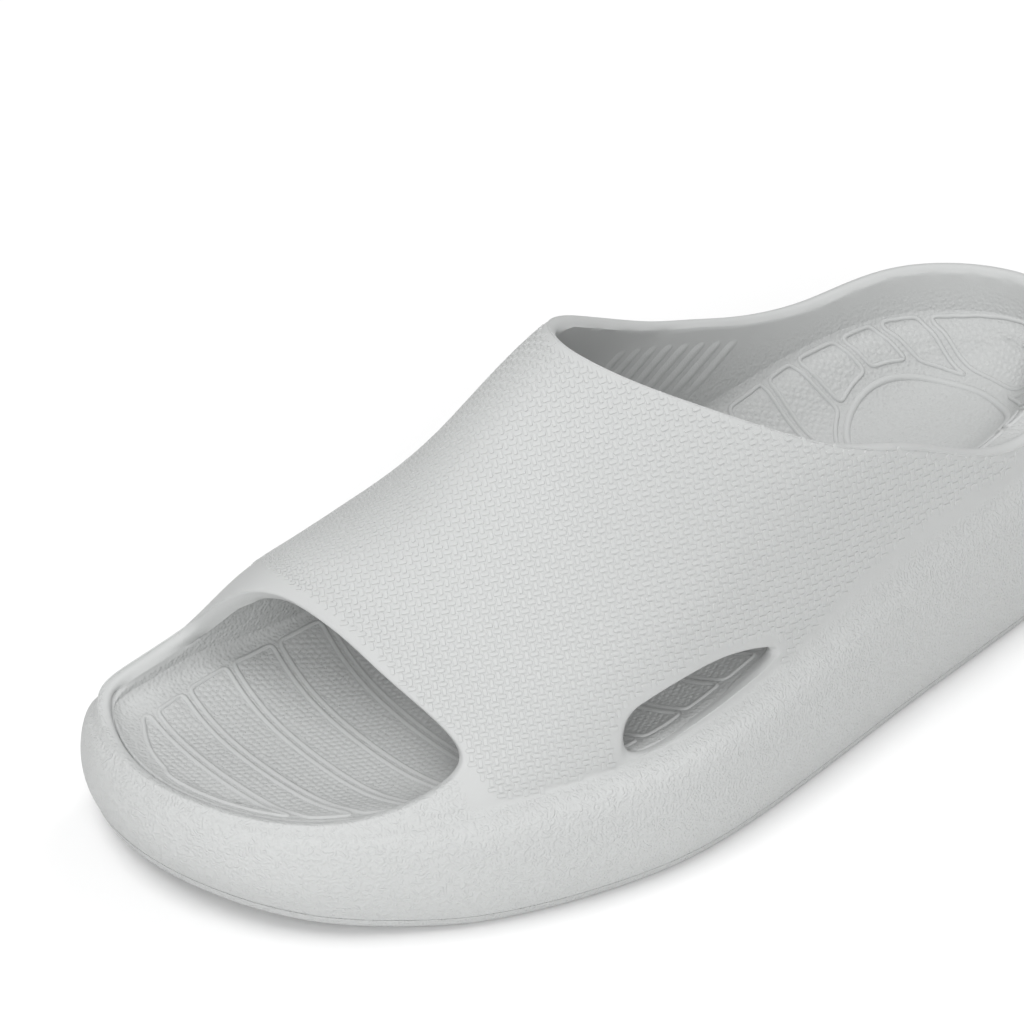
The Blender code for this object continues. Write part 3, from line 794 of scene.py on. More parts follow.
def tree_of(data):
    """A search tree over a mesh."""
    points = [v.co[:] for v in data.vertices]
    return BVHTree.FromPolygons(points, [p.vertices[:] for p in data.polygons])


def valley_height_at(along):
    """Height of the valley between side and wall."""
    height = look_up(SOLE, "shoulder", along) + look_up(UPPER, "lift", along)
    return height * INSTEP_HEIGHT


EDGE_REACH = 3 * MM
EAR_REACH = 9 * MM
EAR_BEFORE = -80 * MM


def whole_sheet(beyond):
    """The outer sheet alone, with the slot filled, so that a slice is never broken."""
    cage = Cage()
    rows = outer_rows()
    ids, band = ring_and_band(cage, rows, band_points(rows[-1]), (), [{}] * len(rows))
    points = np.array(cage.points)
    for loop in rim_loops(ids, band) if beyond else ():
        extra = []
        for rim, near in loop:
            reach = EDGE_REACH
            if rim > ids[-1][-1] and points[rim][1] < EAR_BEFORE:
                reach += EAR_REACH * min(max((10 * MM - points[rim][0]) / (40 * MM), 0), 1)
            extra.append(points[rim] + edge_way(points, rim, near) * reach)
        cage.add_ring_strip([rim for rim, _ in loop], cage.add_row(extra))
    return cage.refined(2)


BODY_TREE = tree_of(BODY_MESH)
SHEET_TREE = tree_of(whole_sheet(beyond=True))
REAL_TREE = tree_of(whole_sheet(beyond=False))


def slice_hits(station):
    """Points of the outer surface on one tilted slice, from the outer valley upward."""
    normal = Vector((0, math.cos(SLICE_TILT), math.sin(SLICE_TILT)))
    upward = Vector((0, -math.sin(SLICE_TILT), math.cos(SLICE_TILT)))
    centre = normal * station + upward * (FAN_HEIGHT + max(station, 0) * 0.15)
    hits = []
    for angle in FAN[::-1]:
        way = Vector((math.sin(angle), 0, 0)) + upward * math.cos(angle)
        place, facing, _, distance = SHEET_TREE.ray_cast(centre + way * FAR, -way)
        if place is None or abs(facing.dot(way)) < 0.1 or distance > FAR:
            place = None
        elif place.z <= valley_height_at(place.y / LENGTH + 0.5) - 1.0 * MM:
            place = None
        hits.append(place)
    return hits


def runs_of(hits):
    """Unbroken runs of a slice, each as an array of points."""
    runs = [[]]
    for place in hits:
        if place is None or (runs[-1] and (place - runs[-1][-1]).length >= LONGEST_STEP):
            runs.append([])
        if place is not None:
            runs[-1].append(place)
    return [np.array(run) for run in runs if len(run) > 5]


def walk(run, offset=0.0):
    """Numbers and places of even steps along a run that starts at an offset."""
    arc = arc_lengths(run) + offset
    steps = np.arange(math.ceil(arc[0] / WALK_STEP), int(arc[-1] / WALK_STEP) + 1)
    return steps, np.stack([np.interp(steps * WALK_STEP, arc, run[:, axis]) for axis in range(3)], 1)


STATIONS = np.arange(SLICE_FIRST, SLICE_LAST, SLICE_STEP)
RUNS = [runs_of(slice_hits(station)) for station in STATIONS]
WHOLE = [k for k, runs in enumerate(RUNS) if any(r[0][0] > 0.02 and r[-1][0] < -0.02 for r in runs)]
GIRTH = {k: max(arc_lengths(r)[-1] for r in RUNS[k]) for k in WHOLE}
WALKED = np.full((len(RUNS), int(0.32 / WALK_STEP), 3), np.nan)
for k, runs in enumerate(RUNS):
    for run in runs:
        outer = run[0][0] > 0.0
        edge = WHOLE[0] if k < WHOLE[0] else WHOLE[-1]
        steps, places = walk(run, 0.0 if outer else GIRTH[edge] - arc_lengths(run)[-1])
        if outer or k not in GIRTH:
            WALKED[k, steps] = places
print("slices:", len(RUNS), "whole over the foot:", len(WHOLE),
      "girth %.0f to %.0f mm" % (min(GIRTH.values()) / MM, max(GIRTH.values()) / MM))

# %% [markdown]
# ### Lay the patch flat
# The pattern was drawn from the outer side and pressed straight onto the shoe, so on the
# half that faces that side its flat place is plain projection. Where the surface turns away
# over the foot, the flat place goes on by length. The flat sheet is then measured in bars:
# two short polynomials say how the grid turns slowly from the collar to the toe.

# %% Flat sheet
DRAWN_RIGHT = np.array([math.cos(AZIMUTH), math.sin(AZIMUTH), 0])
DRAWN_UP = np.array([-math.sin(AZIMUTH) * math.sin(ELEVATION), math.cos(AZIMUTH) * math.sin(ELEVATION),
                     math.cos(ELEVATION)])
DRAWN = np.stack([DRAWN_RIGHT, DRAWN_UP], 1)
TURN_AWAY = 0.78
WIDEST_CELL = 5 * MM
PATTERN_MIDDLE = (0.0, 75.0)
PATTERN_REACH = ((-75.0, 77.0), (-86.0, -5.0))
PATTERN_TERMS = (
    (0.38359, -0.15293, 0.0000119, 0.0007625, 0.0005830),
    (-0.19488, -0.35401, 0.0000369, 0.0004358, -0.0000436),
)


def in_bars(flat):
    """Flat places counted in bars, straight on beyond the reach of the drawing."""
    x, y = (flat / MM - PATTERN_MIDDLE).T
    near_x, near_y = np.clip(x, *PATTERN_REACH[0]), np.clip(y, *PATTERN_REACH[1])
    counts = []
    for a, b, c, d, e in PATTERN_TERMS:
        count = a * near_x + b * near_y + c * near_x ** 2 + d * near_x * near_y + e * near_y ** 2
        count += (a + 2 * c * near_x + d * near_y) * (x - near_x)
        counts.append(count + (b + d * near_x + 2 * e * near_y) * (y - near_y))
    return np.stack(counts, 1)


def evened(values, width=11):
    """A row of values with its small jumps smoothed."""
    padded = np.pad(values, [(width // 2, width // 2)] + [(0, 0)] * (values.ndim - 1), "edge")
    return np.mean([padded[k:k + len(values)] for k in range(width)], axis=0)


def turning_points():
    """For each whole slice, where it turns away: its step, flat place and direction."""
    steps = []
    for k in WHOLE:
        rate = np.linalg.norm(np.diff(WALKED[k] @ DRAWN, axis=0), axis=1) / WALK_STEP
        top = int(np.nanargmax(WALKED[k][:, 2]))
        away = [m for m in range(top, len(rate)) if rate[m] < TURN_AWAY]
        steps.append(away[0] if away else top)
    steps = evened(np.array(steps, float))
    places, ways = [], []
    for k, step in zip(WHOLE, steps):
        drawn = WALKED[k] @ DRAWN
        at = np.arange(len(drawn))
        end, before = (np.array([np.interp(s, at, line) for line in drawn.T]) for s in (step, step - 6))
        places.append(end)
        ways.append((end - before) / np.linalg.norm(end - before))
    return steps, np.array(places), evened(np.array(ways))


def flat_places():
    """Flat place of every walked point."""
    turn, place, way = turning_points()
    flat = WALKED @ DRAWN
    onward_steps = np.arange(flat.shape[1])
    step_on = {WHOLE[0]: (place[0] - place[8]) / 8, WHOLE[-1]: (place[-1] - place[-9]) / 8}
    for k in range(len(RUNS)):
        edge = min(max(k, WHOLE[0]), WHOLE[-1])
        row = edge - WHOLE[0]
        start, onward = place[row], onward_steps > turn[row]
        if k != edge:
            start = start + step_on[edge] * abs(k - edge)
            onward = onward & (WALKED[k][:, 0] < 0)
        flat[k, onward] = start + (onward_steps[onward, None] - turn[row]) * WALK_STEP * way[row]
    return flat


FLAT = flat_places()
COUNTED = in_bars(FLAT.reshape(-1, 2)).reshape(FLAT.shape)


def flat_triangles():
    """Triangles of the patch, both flat and on the shoe."""
    near = np.linalg.norm(np.diff(WALKED, axis=0), axis=2) < WIDEST_CELL
    k, m = np.nonzero(near[:, :-1] & near[:, 1:])
    corners = [(k, m), (k + 1, m), (k + 1, m + 1), (k, m + 1)]
    counted = np.stack([COUNTED[c] for c in corners], 1)
    places = np.stack([WALKED[c] for c in corners], 1)
    pick = [[0, 1, 2], [0, 2, 3]]
    return np.concatenate([counted[:, p] for p in pick]), np.concatenate([places[:, p] for p in pick])


FLAT_CORNERS, SHOE_CORNERS = flat_triangles()
FLAT_POINTS = FLAT_CORNERS.reshape(-1, 2)
FLAT_TREE = BVHTree.FromPolygons(
    [(x, y, 0.0) for x, y in FLAT_POINTS],
    [(3 * k, 3 * k + 1, 3 * k + 2) for k in range(len(FLAT_CORNERS))])
print("flat patch: %d triangles, %.0f by %.0f bars" % (len(FLAT_CORNERS), *np.ptp(FLAT_POINTS, axis=0)))


def place_of(count):
    """Place on the shoe of a point of the flat sheet, or None."""
    hit, _, index, _ = FLAT_TREE.ray_cast(Vector((count[0], count[1], 1)), Vector((0, 0, -1)))
    if hit is None:
        return None
    flat, shoe = FLAT_CORNERS[index], SHOE_CORNERS[index]
    sides = np.stack([flat[1] - flat[0], flat[2] - flat[0]], 1)
    shares = np.linalg.solve(sides, np.array(count) - flat[0])
    return shoe[0] + (shoe[1] - shoe[0]) * shares[0] + (shoe[2] - shoe[0]) * shares[1]


# %% Lay the bars
BAR_CELL = 1.77 * MM
BAR_LENGTH = 2.20 * MM
BAR_WIDTH = 1.06 * MM
BAR_HEIGHT = 0.20 * MM
PLAIN_AT_TOE = 1.0 * MM
PLAIN_AT_COLLAR = 0.8 * MM
MORE_AT_INNER_COLLAR = 0.6 * MM
PLAIN_AT_SLOT = 2.3 * MM
BEYOND_SHEET = 0.3 * MM
OFF_BODY = 0.8 * MM
FLATTEST_FACING = 0.85
SHORTEST = 0.55
LONGEST = (1.8, 2.5)
MOST_SKEW = 0.6
WEAVE_FOOT = table("along clear", (
    (0.10, 0.0012),
    (0.40, 0.0015),
    (0.50, 0.0022),
    (0.56, 0.0062),
    (0.62, 0.0078),
    (0.70, 0.0072),
    (0.82, 0.0040),
    (0.90, 0.0040),
))


def smooth_loop(points, corners=None):
    """A closed loop of cage points as the line that subdivision draws through them."""
    for level in range(3):
        after = np.roll(points, -1, axis=0)
        before = np.roll(points, 1, axis=0)
        kept = (before + 6 * points + after) / 8
        for corner, rounds in (corners or {}).items():
            if level < rounds:
                kept[corner * 2 ** level] = points[corner * 2 ** level]
        points = np.stack([kept, (points + after) / 2], 1).reshape(-1, 3)
    return points


TOE_RIM, COLLAR_RIM = [smooth_loop(rim) for rim in RIMS]
SLOT_RIM = smooth_loop(SLOT_EDGE, SLOT_CORNERS)


def distances(points, line):
    """Distance of each point from a line of points."""
    gap = points[:, None, :] - line[None, :, :]
    return np.sqrt((gap ** 2).sum(2).min(1))


def lay_bars():
    """Place, lengthwise vector and crosswise vector of each bar."""
    low = np.floor(FLAT_POINTS.min(0)).astype(int)
    high = np.ceil(FLAT_POINTS.max(0)).astype(int)
    found = []
    for i in range(low[0], high[0] + 1):
        for j in range(low[1], high[1] + 1):
            for half, way in ((0.0, (0.5, -0.5)), (0.5, (0.5, 0.5))):
                count = np.array((i + half, j + half))
                one, two = np.array((way, (-way[1], way[0]))) / 2
                spots = [place_of(count + step) for step in (0 * one, one, -one, two, -two)]
                if all(spot is not None for spot in spots):
                    found.append((spots[0], spots[1] - spots[2], spots[3] - spots[4]))
    return [np.array(column) for column in zip(*found)]


WEAVE_FRONT = ((-0.036, -0.028, 0.020, 0.030), (0.19, 0.14, 0.15, OUTER_VAMP_COLUMNS[0]))


def trimmed(places, lengthwise, crosswise):
    """Only the bars that lie on the woven part, set on the finished surface."""
    along = places[:, 1] / LENGTH + 0.5
    inner = np.clip(1 - places[:, 0] / (30 * MM), 0, 1)
    keep = places[:, 2] > valley_height_at(along) + look_up(WEAVE_FOOT, "clear", along)
    keep &= along > np.interp(places[:, 0], *WEAVE_FRONT)
    keep &= distances(places, TOE_RIM) > PLAIN_AT_TOE
    keep &= distances(places, COLLAR_RIM) > PLAIN_AT_COLLAR + MORE_AT_INNER_COLLAR * inner
    keep &= distances(places, SLOT_RIM) > PLAIN_AT_SLOT
    keep &= np.array([REAL_TREE.find_nearest(Vector(p))[3] < BEYOND_SHEET for p in places])
    facing = np.cross(lengthwise, crosswise)
    facing /= np.linalg.norm(facing, axis=1)[:, None]
    near = [BODY_TREE.find_nearest(Vector(p)) for p in places]
    set_on, normals = (np.array([n[k][:] for n in near]) for k in (0, 1))
    keep &= np.abs((facing * normals).sum(1)) > FLATTEST_FACING
    keep &= np.linalg.norm(set_on - places, axis=1) < OFF_BODY
    return set_on[keep], normals[keep], lengthwise[keep], crosswise[keep]


def well_shaped(places, normals, ways, sides):
    """Leave out bars where the flat sheet is folded or pulled too far."""
    long, wide = np.linalg.norm(ways, axis=1), np.linalg.norm(sides, axis=1)
    skew = np.abs((ways * sides).sum(1)) / (long * wide)
    longest = np.where(places[:, 0] > 0, LONGEST[1], LONGEST[0]) * BAR_CELL
    good = (np.minimum(long, wide) > SHORTEST * BAR_CELL) & (np.maximum(long, wide) < longest)
    good &= skew < MOST_SKEW
    sizes = np.stack([long / BAR_CELL, wide / BAR_CELL, np.ones(len(long))], 1)
    return places[good], normals[good], ways[good], sizes[good]


BARS = well_shaped(*trimmed(*lay_bars()))
print("weave: %d bars, stretched %.2f to %.2f" % (len(BARS[0]), BARS[3].min(), BARS[3].max()))

# %% [markdown]
# ### Stamping the bars with Geometry Nodes
# Thousands of equal bars are a job for Instance on Points. The points carry three vectors:
# the surface normal, the way the bar lies, and how far the pattern is stretched there. The
# tree turns each copy so that its Z follows the first and its X the second, then realizes
# the copies, because an exported piece has to be a plain mesh.

# %% Stamp tree
def new_tree(name, **sockets):
    """The nodes of a Geometry Nodes tree with named inputs, and the sockets of those inputs."""
    tree = bpy.data.node_groups.new(name, "GeometryNodeTree")
    for title, kind in (("Geometry", "Geometry"), *sockets.items()):
        tree.interface.new_socket(title, in_out="INPUT", socket_type="NodeSocket" + kind)
    tree.interface.new_socket("Geometry", in_out="OUTPUT", socket_type="NodeSocketGeometry")
    nodes = Nodes(tree)
    return nodes, nodes.node("NodeGroupInput").outputs


def carried(nodes, name, kind="FLOAT_VECTOR"):
    """A vector or number that the points carry."""
    return nodes.node("GeometryNodeInputNamedAttribute", {"Name": name}, data_type=kind).outputs[0]


def ended(nodes, made, finish):
    """The tree, ended with plain geometry that has its finish."""
    real = nodes.node("GeometryNodeRealizeInstances", {0: made.outputs[0]})
    painted = nodes.node("GeometryNodeSetMaterial", {"Geometry": real.outputs[0], "Material": finish})
    nodes.node("NodeGroupOutput", {0: painted.outputs[0]})
    return nodes.tree


def stamp_tree():
    """Copies of a stamp on every point, turned by the vectors that the points carry."""
    nodes, given = new_tree("stamp_on_points", Stamp="Object", Finish="Material")
    align = "FunctionNodeAlignRotationToVector"
    upright = nodes.node(align, {"Vector": carried(nodes, "facing")}, axis="Z")
    turned = nodes.node(align, {"Rotation": upright.outputs[0], "Vector": carried(nodes, "way")},
                        axis="X", pivot_axis="Z")
    stamp = nodes.node("GeometryNodeObjectInfo", {"Object": given["Stamp"]})
    copies = nodes.node("GeometryNodeInstanceOnPoints", {
        "Points": given["Geometry"],
        "Instance": stamp.outputs["Geometry"],
        "Rotation": turned.outputs[0],
        "Scale": carried(nodes, "size"),
    })
    return ended(nodes, copies, given["Finish"])


def run_tree(tree, data, **inputs):
    """Evaluate a tree on a mesh and give back the plain mesh."""
    holder = add_object("holder", data)
    modifier = holder.modifiers.new("nodes", "NODES")
    modifier.node_group = tree
    for item in tree.interface.items_tree:
        if item.in_out == "INPUT" and item.name in inputs:
            modifier[item.identifier] = inputs[item.name]
    holder.update_tag()
    made = plain_mesh(holder)
    bpy.data.objects.remove(holder)
    return made


STAMP_TREE = stamp_tree()


def stamped(name, rings, points, finish):
    """A small closed stamp from rings of points, lowest first, copied onto the points."""
    n = len(rings[0])
    faces = [tuple(reversed(range(n)))]
    for k in range(len(rings) - 1):
        low, high = k * n, (k + 1) * n
        faces += [(low + a, low + (a + 1) % n, high + (a + 1) % n, high + a) for a in range(n)]
    faces.append(tuple(range((len(rings) - 1) * n, len(rings) * n)))
    data = new_mesh(name, [p for ring in rings for p in ring], faces=faces)
    data.shade_smooth()
    stamp = add_object(name, data)
    made = run_tree(STAMP_TREE, points, Stamp=stamp, Finish=finish)
    bpy.data.objects.remove(stamp)
    return made


def point_mesh(places, normals, ways, sizes):
    """A mesh of loose points that carry their vectors."""
    data = new_mesh("points", places)
    for name, vectors in (("facing", normals), ("way", ways), ("size", sizes)):
        add_attribute(data, name, np.asarray(vectors, np.float32).ravel(), "FLOAT_VECTOR")
    return data


# %% Weave piece
def bar_ring(share, height):
    """One six-cornered ring of a bar with rounded ends."""
    inset = BAR_WIDTH * (1 - share) / 2
    half = BAR_LENGTH / 2 - inset
    wide = BAR_WIDTH / 2 - inset
    corner = half - wide * 0.42
    return [(half, 0, height), (corner, wide, height), (-corner, wide, height),
            (-half, 0, height), (-corner, -wide, height), (corner, -wide, height)]


BAR_RINGS = [bar_ring(1.0, -0.08 * MM), bar_ring(0.76, BAR_HEIGHT)]
finished("band_weave", stamped("bar", BAR_RINGS, point_mesh(*BARS), WEAVE_FINISH),
         WEAVE_FINISH, sharp=35)

# %% [markdown]
# ## The footbed
# The bed is a dish that rises at its edges into the wall. It is its own cage, finer than
# the solid, and its last rows climb the wall in a soft hollow and sink into it, so that no
# seam shows, as on the one-piece moulding.

# %% Bed surface
BED_CLIMB = 6.5 * MM
BED_PARTS = 8


def bed_mesh():
    """The dished bed, with its edge turned up against the wall, but not under the slot."""
    cage = Cage()
    top_inset = by_side("outer_inset", "inner_inset") * WIDTH + WALL
    top_height = by_side("outer_height", "inner_height") * INSTEP_HEIGHT
    from_slot = np.abs(np.arange(COLUMNS) - np.mean(SLOT_COLUMNS) - 0.5)
    climb = np.minimum(BED_CLIMB, 0.62 * (top_height - FLOOR_EDGE))
    climb *= 1 - 0.9 * np.clip(4.5 - from_slot, 0, 1)
    lean = (top_inset - FLOOR_INSET) / (top_height - FLOOR_EDGE)
    inside = FLOOR_INSET - 1.2 * MM
    border = ring_row(FLOOR_INSET + 4.2 * MM, FLOOR_EDGE - 0.2 * MM)
    rows = [
        ring_row(inside, TUB + GAP),
        ring_row(inside + lean * climb, FLOOR_EDGE + climb),
        ring_row(FLOOR_INSET + 0.5 * lean * climb + 0.1 * MM, FLOOR_EDGE + 0.5 * climb),
        ring_row(FLOOR_INSET + 1.5 * MM, FLOOR_EDGE + 0.5 * MM),
        border,
    ]
    ids = [cage.add_row(row, pebble=1.0) for row in rows]
    cage.add_strips(ids)
    half = COLUMNS // 2
    shares = np.linspace(0, 1, BED_PARTS + 1)[1:-1]
    lines = []
    for c in range(1, half):
        other = COLUMNS - c
        floor = (FLOOR[c] + FLOOR[other]) / 2
        along = (ALONG[c] + ALONG[other]) / 2
        end = max((along - HEEL_BOWL_START) / (1 - HEEL_BOWL_START), 1 - along / TOE_BOWL_END, 0)
        line = border[c] + (border[other] - border[c]) * shares[:, None]
        bowl = 1 - (1 - np.abs(2 * shares - 1) ** BOWL) * (1 - end ** BOWL)
        line[:, 2] = floor + (line[:, 2] - floor) * bowl
        lines.append([ids[-1][c]] + cage.add_row(line, pebble=1.0) + [ids[-1][other]])
    for tip, line in ((ids[-1][0], lines[0]), (ids[-1][half], lines[-1])):
        cage.faces.extend((tip, line[j], line[j + 1]) for j in range(BED_PARTS))
    cage.add_grid(lines)
    data = cage.refined(FINE)
    with editing(data) as mesh:
        close_border(mesh, Vector(rows[0][0]))
    return data


BED_MESH = bed_mesh()
BED_TREE = tree_of(BED_MESH)


def on_bed(x, y):
    """Place and normal on the bed above or below a point of the plan."""
    place, facing, _, _ = BED_TREE.ray_cast(Vector((x, y, 0.2)), Vector((0, 0, -1)))
    return place, facing if facing.z > 0 else -facing


print("bed under the heel: %.1f mm" % (on_bed(0, 0.09)[0].z / MM))

# %% [markdown]
# ### Panels
# Rib lines cross the bed about every 13 mm and bow toward the toe. Between two lines lies
# one panel, closed at its ends by the outline of the bed. At the heel a ring takes the
# middle, and the panels stop short of it along a concentric arc. Its inside stays bare.

# %% Panel layout
PANEL_GAP = 2.0 * MM
PANEL_INSET = table("along outer inner", (
    (0.00, 0.0028, 0.0044),
    (0.03, 0.0018, 0.0070),
    (0.09, 0.0015, 0.0064),
    (0.13, 0.0015, 0.0048),
    (0.25, 0.0020, 0.0044),
    (0.40, 0.0044, 0.0044),
    (0.60, 0.0040, 0.0034),
    (0.74, 0.0032, 0.0012),
    (0.85, 0.0028, 0.0008),
    (0.95, 0.0018, 0.0008),
    (1.00, 0.0008, 0.0008),
))
RING_CENTRE = (0.2 * MM, 91.8 * MM)
RING_RADIUS = 19.8 * MM
RING_CLEAR = 22.6 * MM
TOE_LINES = ((-12, -118.9), (-9, -109.5), (0, -98.0), (5, -85.8), (12, -73.2))
MIDDLE_LINES = np.linspace(-73.2, 62.0, 11)[1:-1]
HEEL_LINES = (
    (6, 70.7, 1.2, 0.18),
    (0, 89.9, 0, 0.42),
    (0, 103.6, 0, 0.44),
    (0, 112.9, 0, 0.42),
    (0, 115.2, 0, 0.125),
)
LINE_BOW = 2.4
RING_SOFTNESS = 3 * MM

# For each rib line, toe first: its turning point, its bow, and its fall away from the ring.
RIB_LINES = np.array([
    *((x, y, LINE_BOW, 0.0) for x, y in TOE_LINES),
    *((12, y, LINE_BOW, 0.0) for y in MIDDLE_LINES),
    *HEEL_LINES,
]) * (MM, MM, 1, 1)


def line_at(k, x):
    """Height in plan of a rib line."""
    middle, height, bow, fall = RIB_LINES[k]
    aside = np.sqrt((x - RING_CENTRE[0]) ** 2 + RING_SOFTNESS ** 2)
    return height + bow * (x - middle) ** 2 - fall * aside


def bed_outline():
    """Outline inside which the panels lie, as a closed line in plan."""
    turns = np.linspace(0, 2 * math.pi, 361)[:-1]
    places, along, outer = widest_line(turns)
    inset = look_up(UPPER, "floor_inset", along) * WIDTH
    inset += np.where(outer, *(look_up(PANEL_INSET, side, along) for side in ("outer", "inner")))
    return places - outward(turns) * inset[:, None]


BED_OUTLINE = bed_outline()
TOE_END = BED_OUTLINE[:, 1].min()
HEEL_END = BED_OUTLINE[:, 1].max()


def sides_at(y):
    """Inner and outer end of the outline at a height in plan."""
    nose = BED_OUTLINE[:, 1].argmin()
    heel = BED_OUTLINE[:, 1].argmax()
    ring = np.roll(BED_OUTLINE, -nose, axis=0)
    turn = (heel - nose) % len(ring)
    outer, inner = ring[:turn + 1], np.vstack([ring[turn:], ring[:1]])[::-1]
    return np.interp(y, inner[:, 1], inner[:, 0]), np.interp(y, outer[:, 1], outer[:, 0])


def between(low, high, x, share):
    return low(x) + (high(x) - low(x)) * share


def ends_on_line(low, high, share):
    """Ends of a line between two borders, where it meets the outline."""
    x = np.linspace(-0.06, 0.06, 481)
    y = between(low, high, x, share)
    inner, outer = sides_at(y)
    inside = x[(x > inner) & (x < outer) & (y > TOE_END) & (y < HEEL_END)]
    return inside[[0, -1]] if len(inside) else None


def panel_borders():
    """Lower and upper border of each panel, as functions of the distance across."""
    lines = range(len(RIB_LINES))
    lows = [lambda x, k=k: line_at(k, x) + PANEL_GAP / 2 for k in lines]
    highs = [lambda x, k=k: line_at(k, x) - PANEL_GAP / 2 for k in lines]
    first = lambda x: np.full_like(x, TOE_END + 0.2 * MM)
    last = lambda x: np.full_like(x, HEEL_END - 0.2 * MM)
    return list(zip([first] + lows, highs + [last]))


def end_on_arc(low, high, x, share, sign):
    """Where a line between two borders meets the arc around the ring."""
    cx, cy = RING_CENTRE
    for _ in range(40):
        y = float(between(low, high, np.array(x), share))
        x = (x + cx + sign * math.sqrt(max(RING_CLEAR ** 2 - (y - cy) ** 2, 0.0))) / 2
    return x


def panel_loop(low, high, part):
    """Closed outline of a panel: the whole of it, or its inner or outer part beside the ring."""
    cx, cy = RING_CENTRE
    sides = {"inner": [], "outer": []}
    for share in np.linspace(0, 1, 17):
        ends = ends_on_line(low, high, share)
        for side, x in zip(sides, () if ends is None else ends):
            if part != "whole" and side != part:
                x = end_on_arc(low, high, x, share, -1 if part == "inner" else 1)
            sides[side].append((x, share))

    def line(x, share):
        return np.stack([x, between(low, high, x, share)], 1)

    inner, outer = (np.array(sides[side]) for side in ("inner", "outer"))
    bottom = line(np.linspace(inner[0, 0], outer[0, 0], 60), inner[0, 1])
    top = line(np.linspace(outer[-1, 0], inner[-1, 0], 60), inner[-1, 1])
    if part == "whole":
        behind = between(low, high, np.array(cx), 0.5) > cy
        side = bottom if behind else top
        gap = np.abs(side[:, 0] - cx) < RING_CLEAR
        arc = np.sqrt(RING_CLEAR ** 2 - (side[gap, 0] - cx) ** 2)
        clear = (np.maximum, cy + arc) if behind else (np.minimum, cy - arc)
        side[gap, 1] = clear[0](side[gap, 1], clear[1])
    return np.vstack([bottom[:-1], line(*outer.T)[:-1], top[:-1], line(*inner[::-1].T)[:-1]])


def even_loop(loop, step, rounds):
    """A closed line at even steps, with its corners rounded."""
    closed = np.vstack([loop, loop[:1]])
    run = arc_lengths(closed)
    count = max(int(run[-1] / step), 8)
    at = np.linspace(0, run[-1], count + 1)[:-1]
    even = np.stack([np.interp(at, run, closed[:, axis]) for axis in range(2)], 1)
    for _ in range(rounds):
        even = (np.roll(even, 1, axis=0) + 2 * even + np.roll(even, -1, axis=0)) / 4
    return even


def panel_parts(low, high):
    """Whether a panel is whole or is split by the ring."""
    cx, cy = RING_CENTRE
    bottom, top = float(low(np.array(cx))), float(high(np.array(cx)))
    crossed = bottom > cy - RING_CLEAR and top < cy + RING_CLEAR
    return ("inner", "outer") if crossed else ("whole",)


SMALLEST_PANEL = 3 * MM
PANELS = []
for low, high in panel_borders():
    for part in panel_parts(low, high):
        loop = panel_loop(low, high, part)
        if np.isfinite(loop).all() and (np.ptp(loop, axis=0) > SMALLEST_PANEL).all():
            PANELS.append(even_loop(loop, 0.8 * MM, 3))
print("panels:", len(PANELS))

# %% [markdown]
# ### Tubes along lines
# Every raised line of the mould, whether panel outline, ring or mould seam, is
# the same idea: a path with its own thickness at each point, swept by Curve to Mesh. One
# small tree serves them all.

# %% Sweep tree
def sweep_tree():
    """Tubes along the edges of a mesh, as thick as its points say."""
    nodes, given = new_tree("tube_along_edges", Sides="Int", Finish="Material")
    path = nodes.node("GeometryNodeMeshToCurve", {"Mesh": given["Geometry"]})
    thickness = carried(nodes, "thickness", "FLOAT")
    sized = nodes.node("GeometryNodeSetCurveRadius", {"Curve": path.outputs[0], "Radius": thickness})
    profile = nodes.node("GeometryNodeCurvePrimitiveCircle", {
        "Radius": 1.0, "Resolution": given["Sides"]})
    tube = nodes.node("GeometryNodeCurveToMesh", {
        "Curve": sized.outputs[0], "Profile Curve": profile.outputs[0], "Fill Caps": True})
    if "Scale" in tube.inputs:
        nodes.give(tube, "Scale", thickness)
    return ended(nodes, tube, given["Finish"])


SWEEP_TREE = sweep_tree()


def swept(paths, sides, finish):
    """One mesh of tubes: each path is its points, their thickness, and whether it closes."""
    verts, edges, thickness = [], [], []
    for points, thick, closed in paths:
        first, last = len(verts), len(verts) + len(points) - 1
        verts += list(points)
        thickness += list(np.broadcast_to(thick, len(points)))
        edges += [(k, k + 1) for k in range(first, last)] + [(last, first)] * closed
    data = new_mesh("paths", verts, edges)
    add_attribute(data, "thickness", thickness)
    return run_tree(SWEEP_TREE, data, Sides=sides, Finish=finish)


# %% Panel outlines and ring
RIDGE_RADIUS = 0.68 * MM
RIDGE_SINK = 0.22 * MM
RING_TUBE = 1.15 * MM
RING_SINK = 0.62 * MM


def laid_on_bed(plan, sink):
    """A line of the plan laid on the bed and sunk a little into it."""
    laid = []
    for x, y in plan:
        place, facing = on_bed(x, y)
        laid.append(place - facing * sink)
    return laid


def circle(centre, radius, count):
    at = np.linspace(0, 2 * math.pi, count + 1)[:-1]
    return np.stack([centre[0] + radius * np.cos(at), centre[1] + radius * np.sin(at)], 1)


RIDGE_PATHS = [(laid_on_bed(loop, RIDGE_SINK), RIDGE_RADIUS, True) for loop in PANELS]
RING_PATH = (laid_on_bed(circle(RING_CENTRE, RING_RADIUS, 120), RING_SINK), RING_TUBE, True)
for name, paths, sides in (("panel_ridges", RIDGE_PATHS, 8), ("heel_ring", [RING_PATH], 16)):
    finished(name, swept(paths, sides, RELIEF_FINISH), RELIEF_FINISH)

# %% [markdown]
# ### Cells in the panels
# Inside each panel the mould leaves small rounded cells in a honeycomb. The stamp tree is
# used again, with a low six-sided dome at every crossing of a staggered grid that lies far
# enough inside an outline.

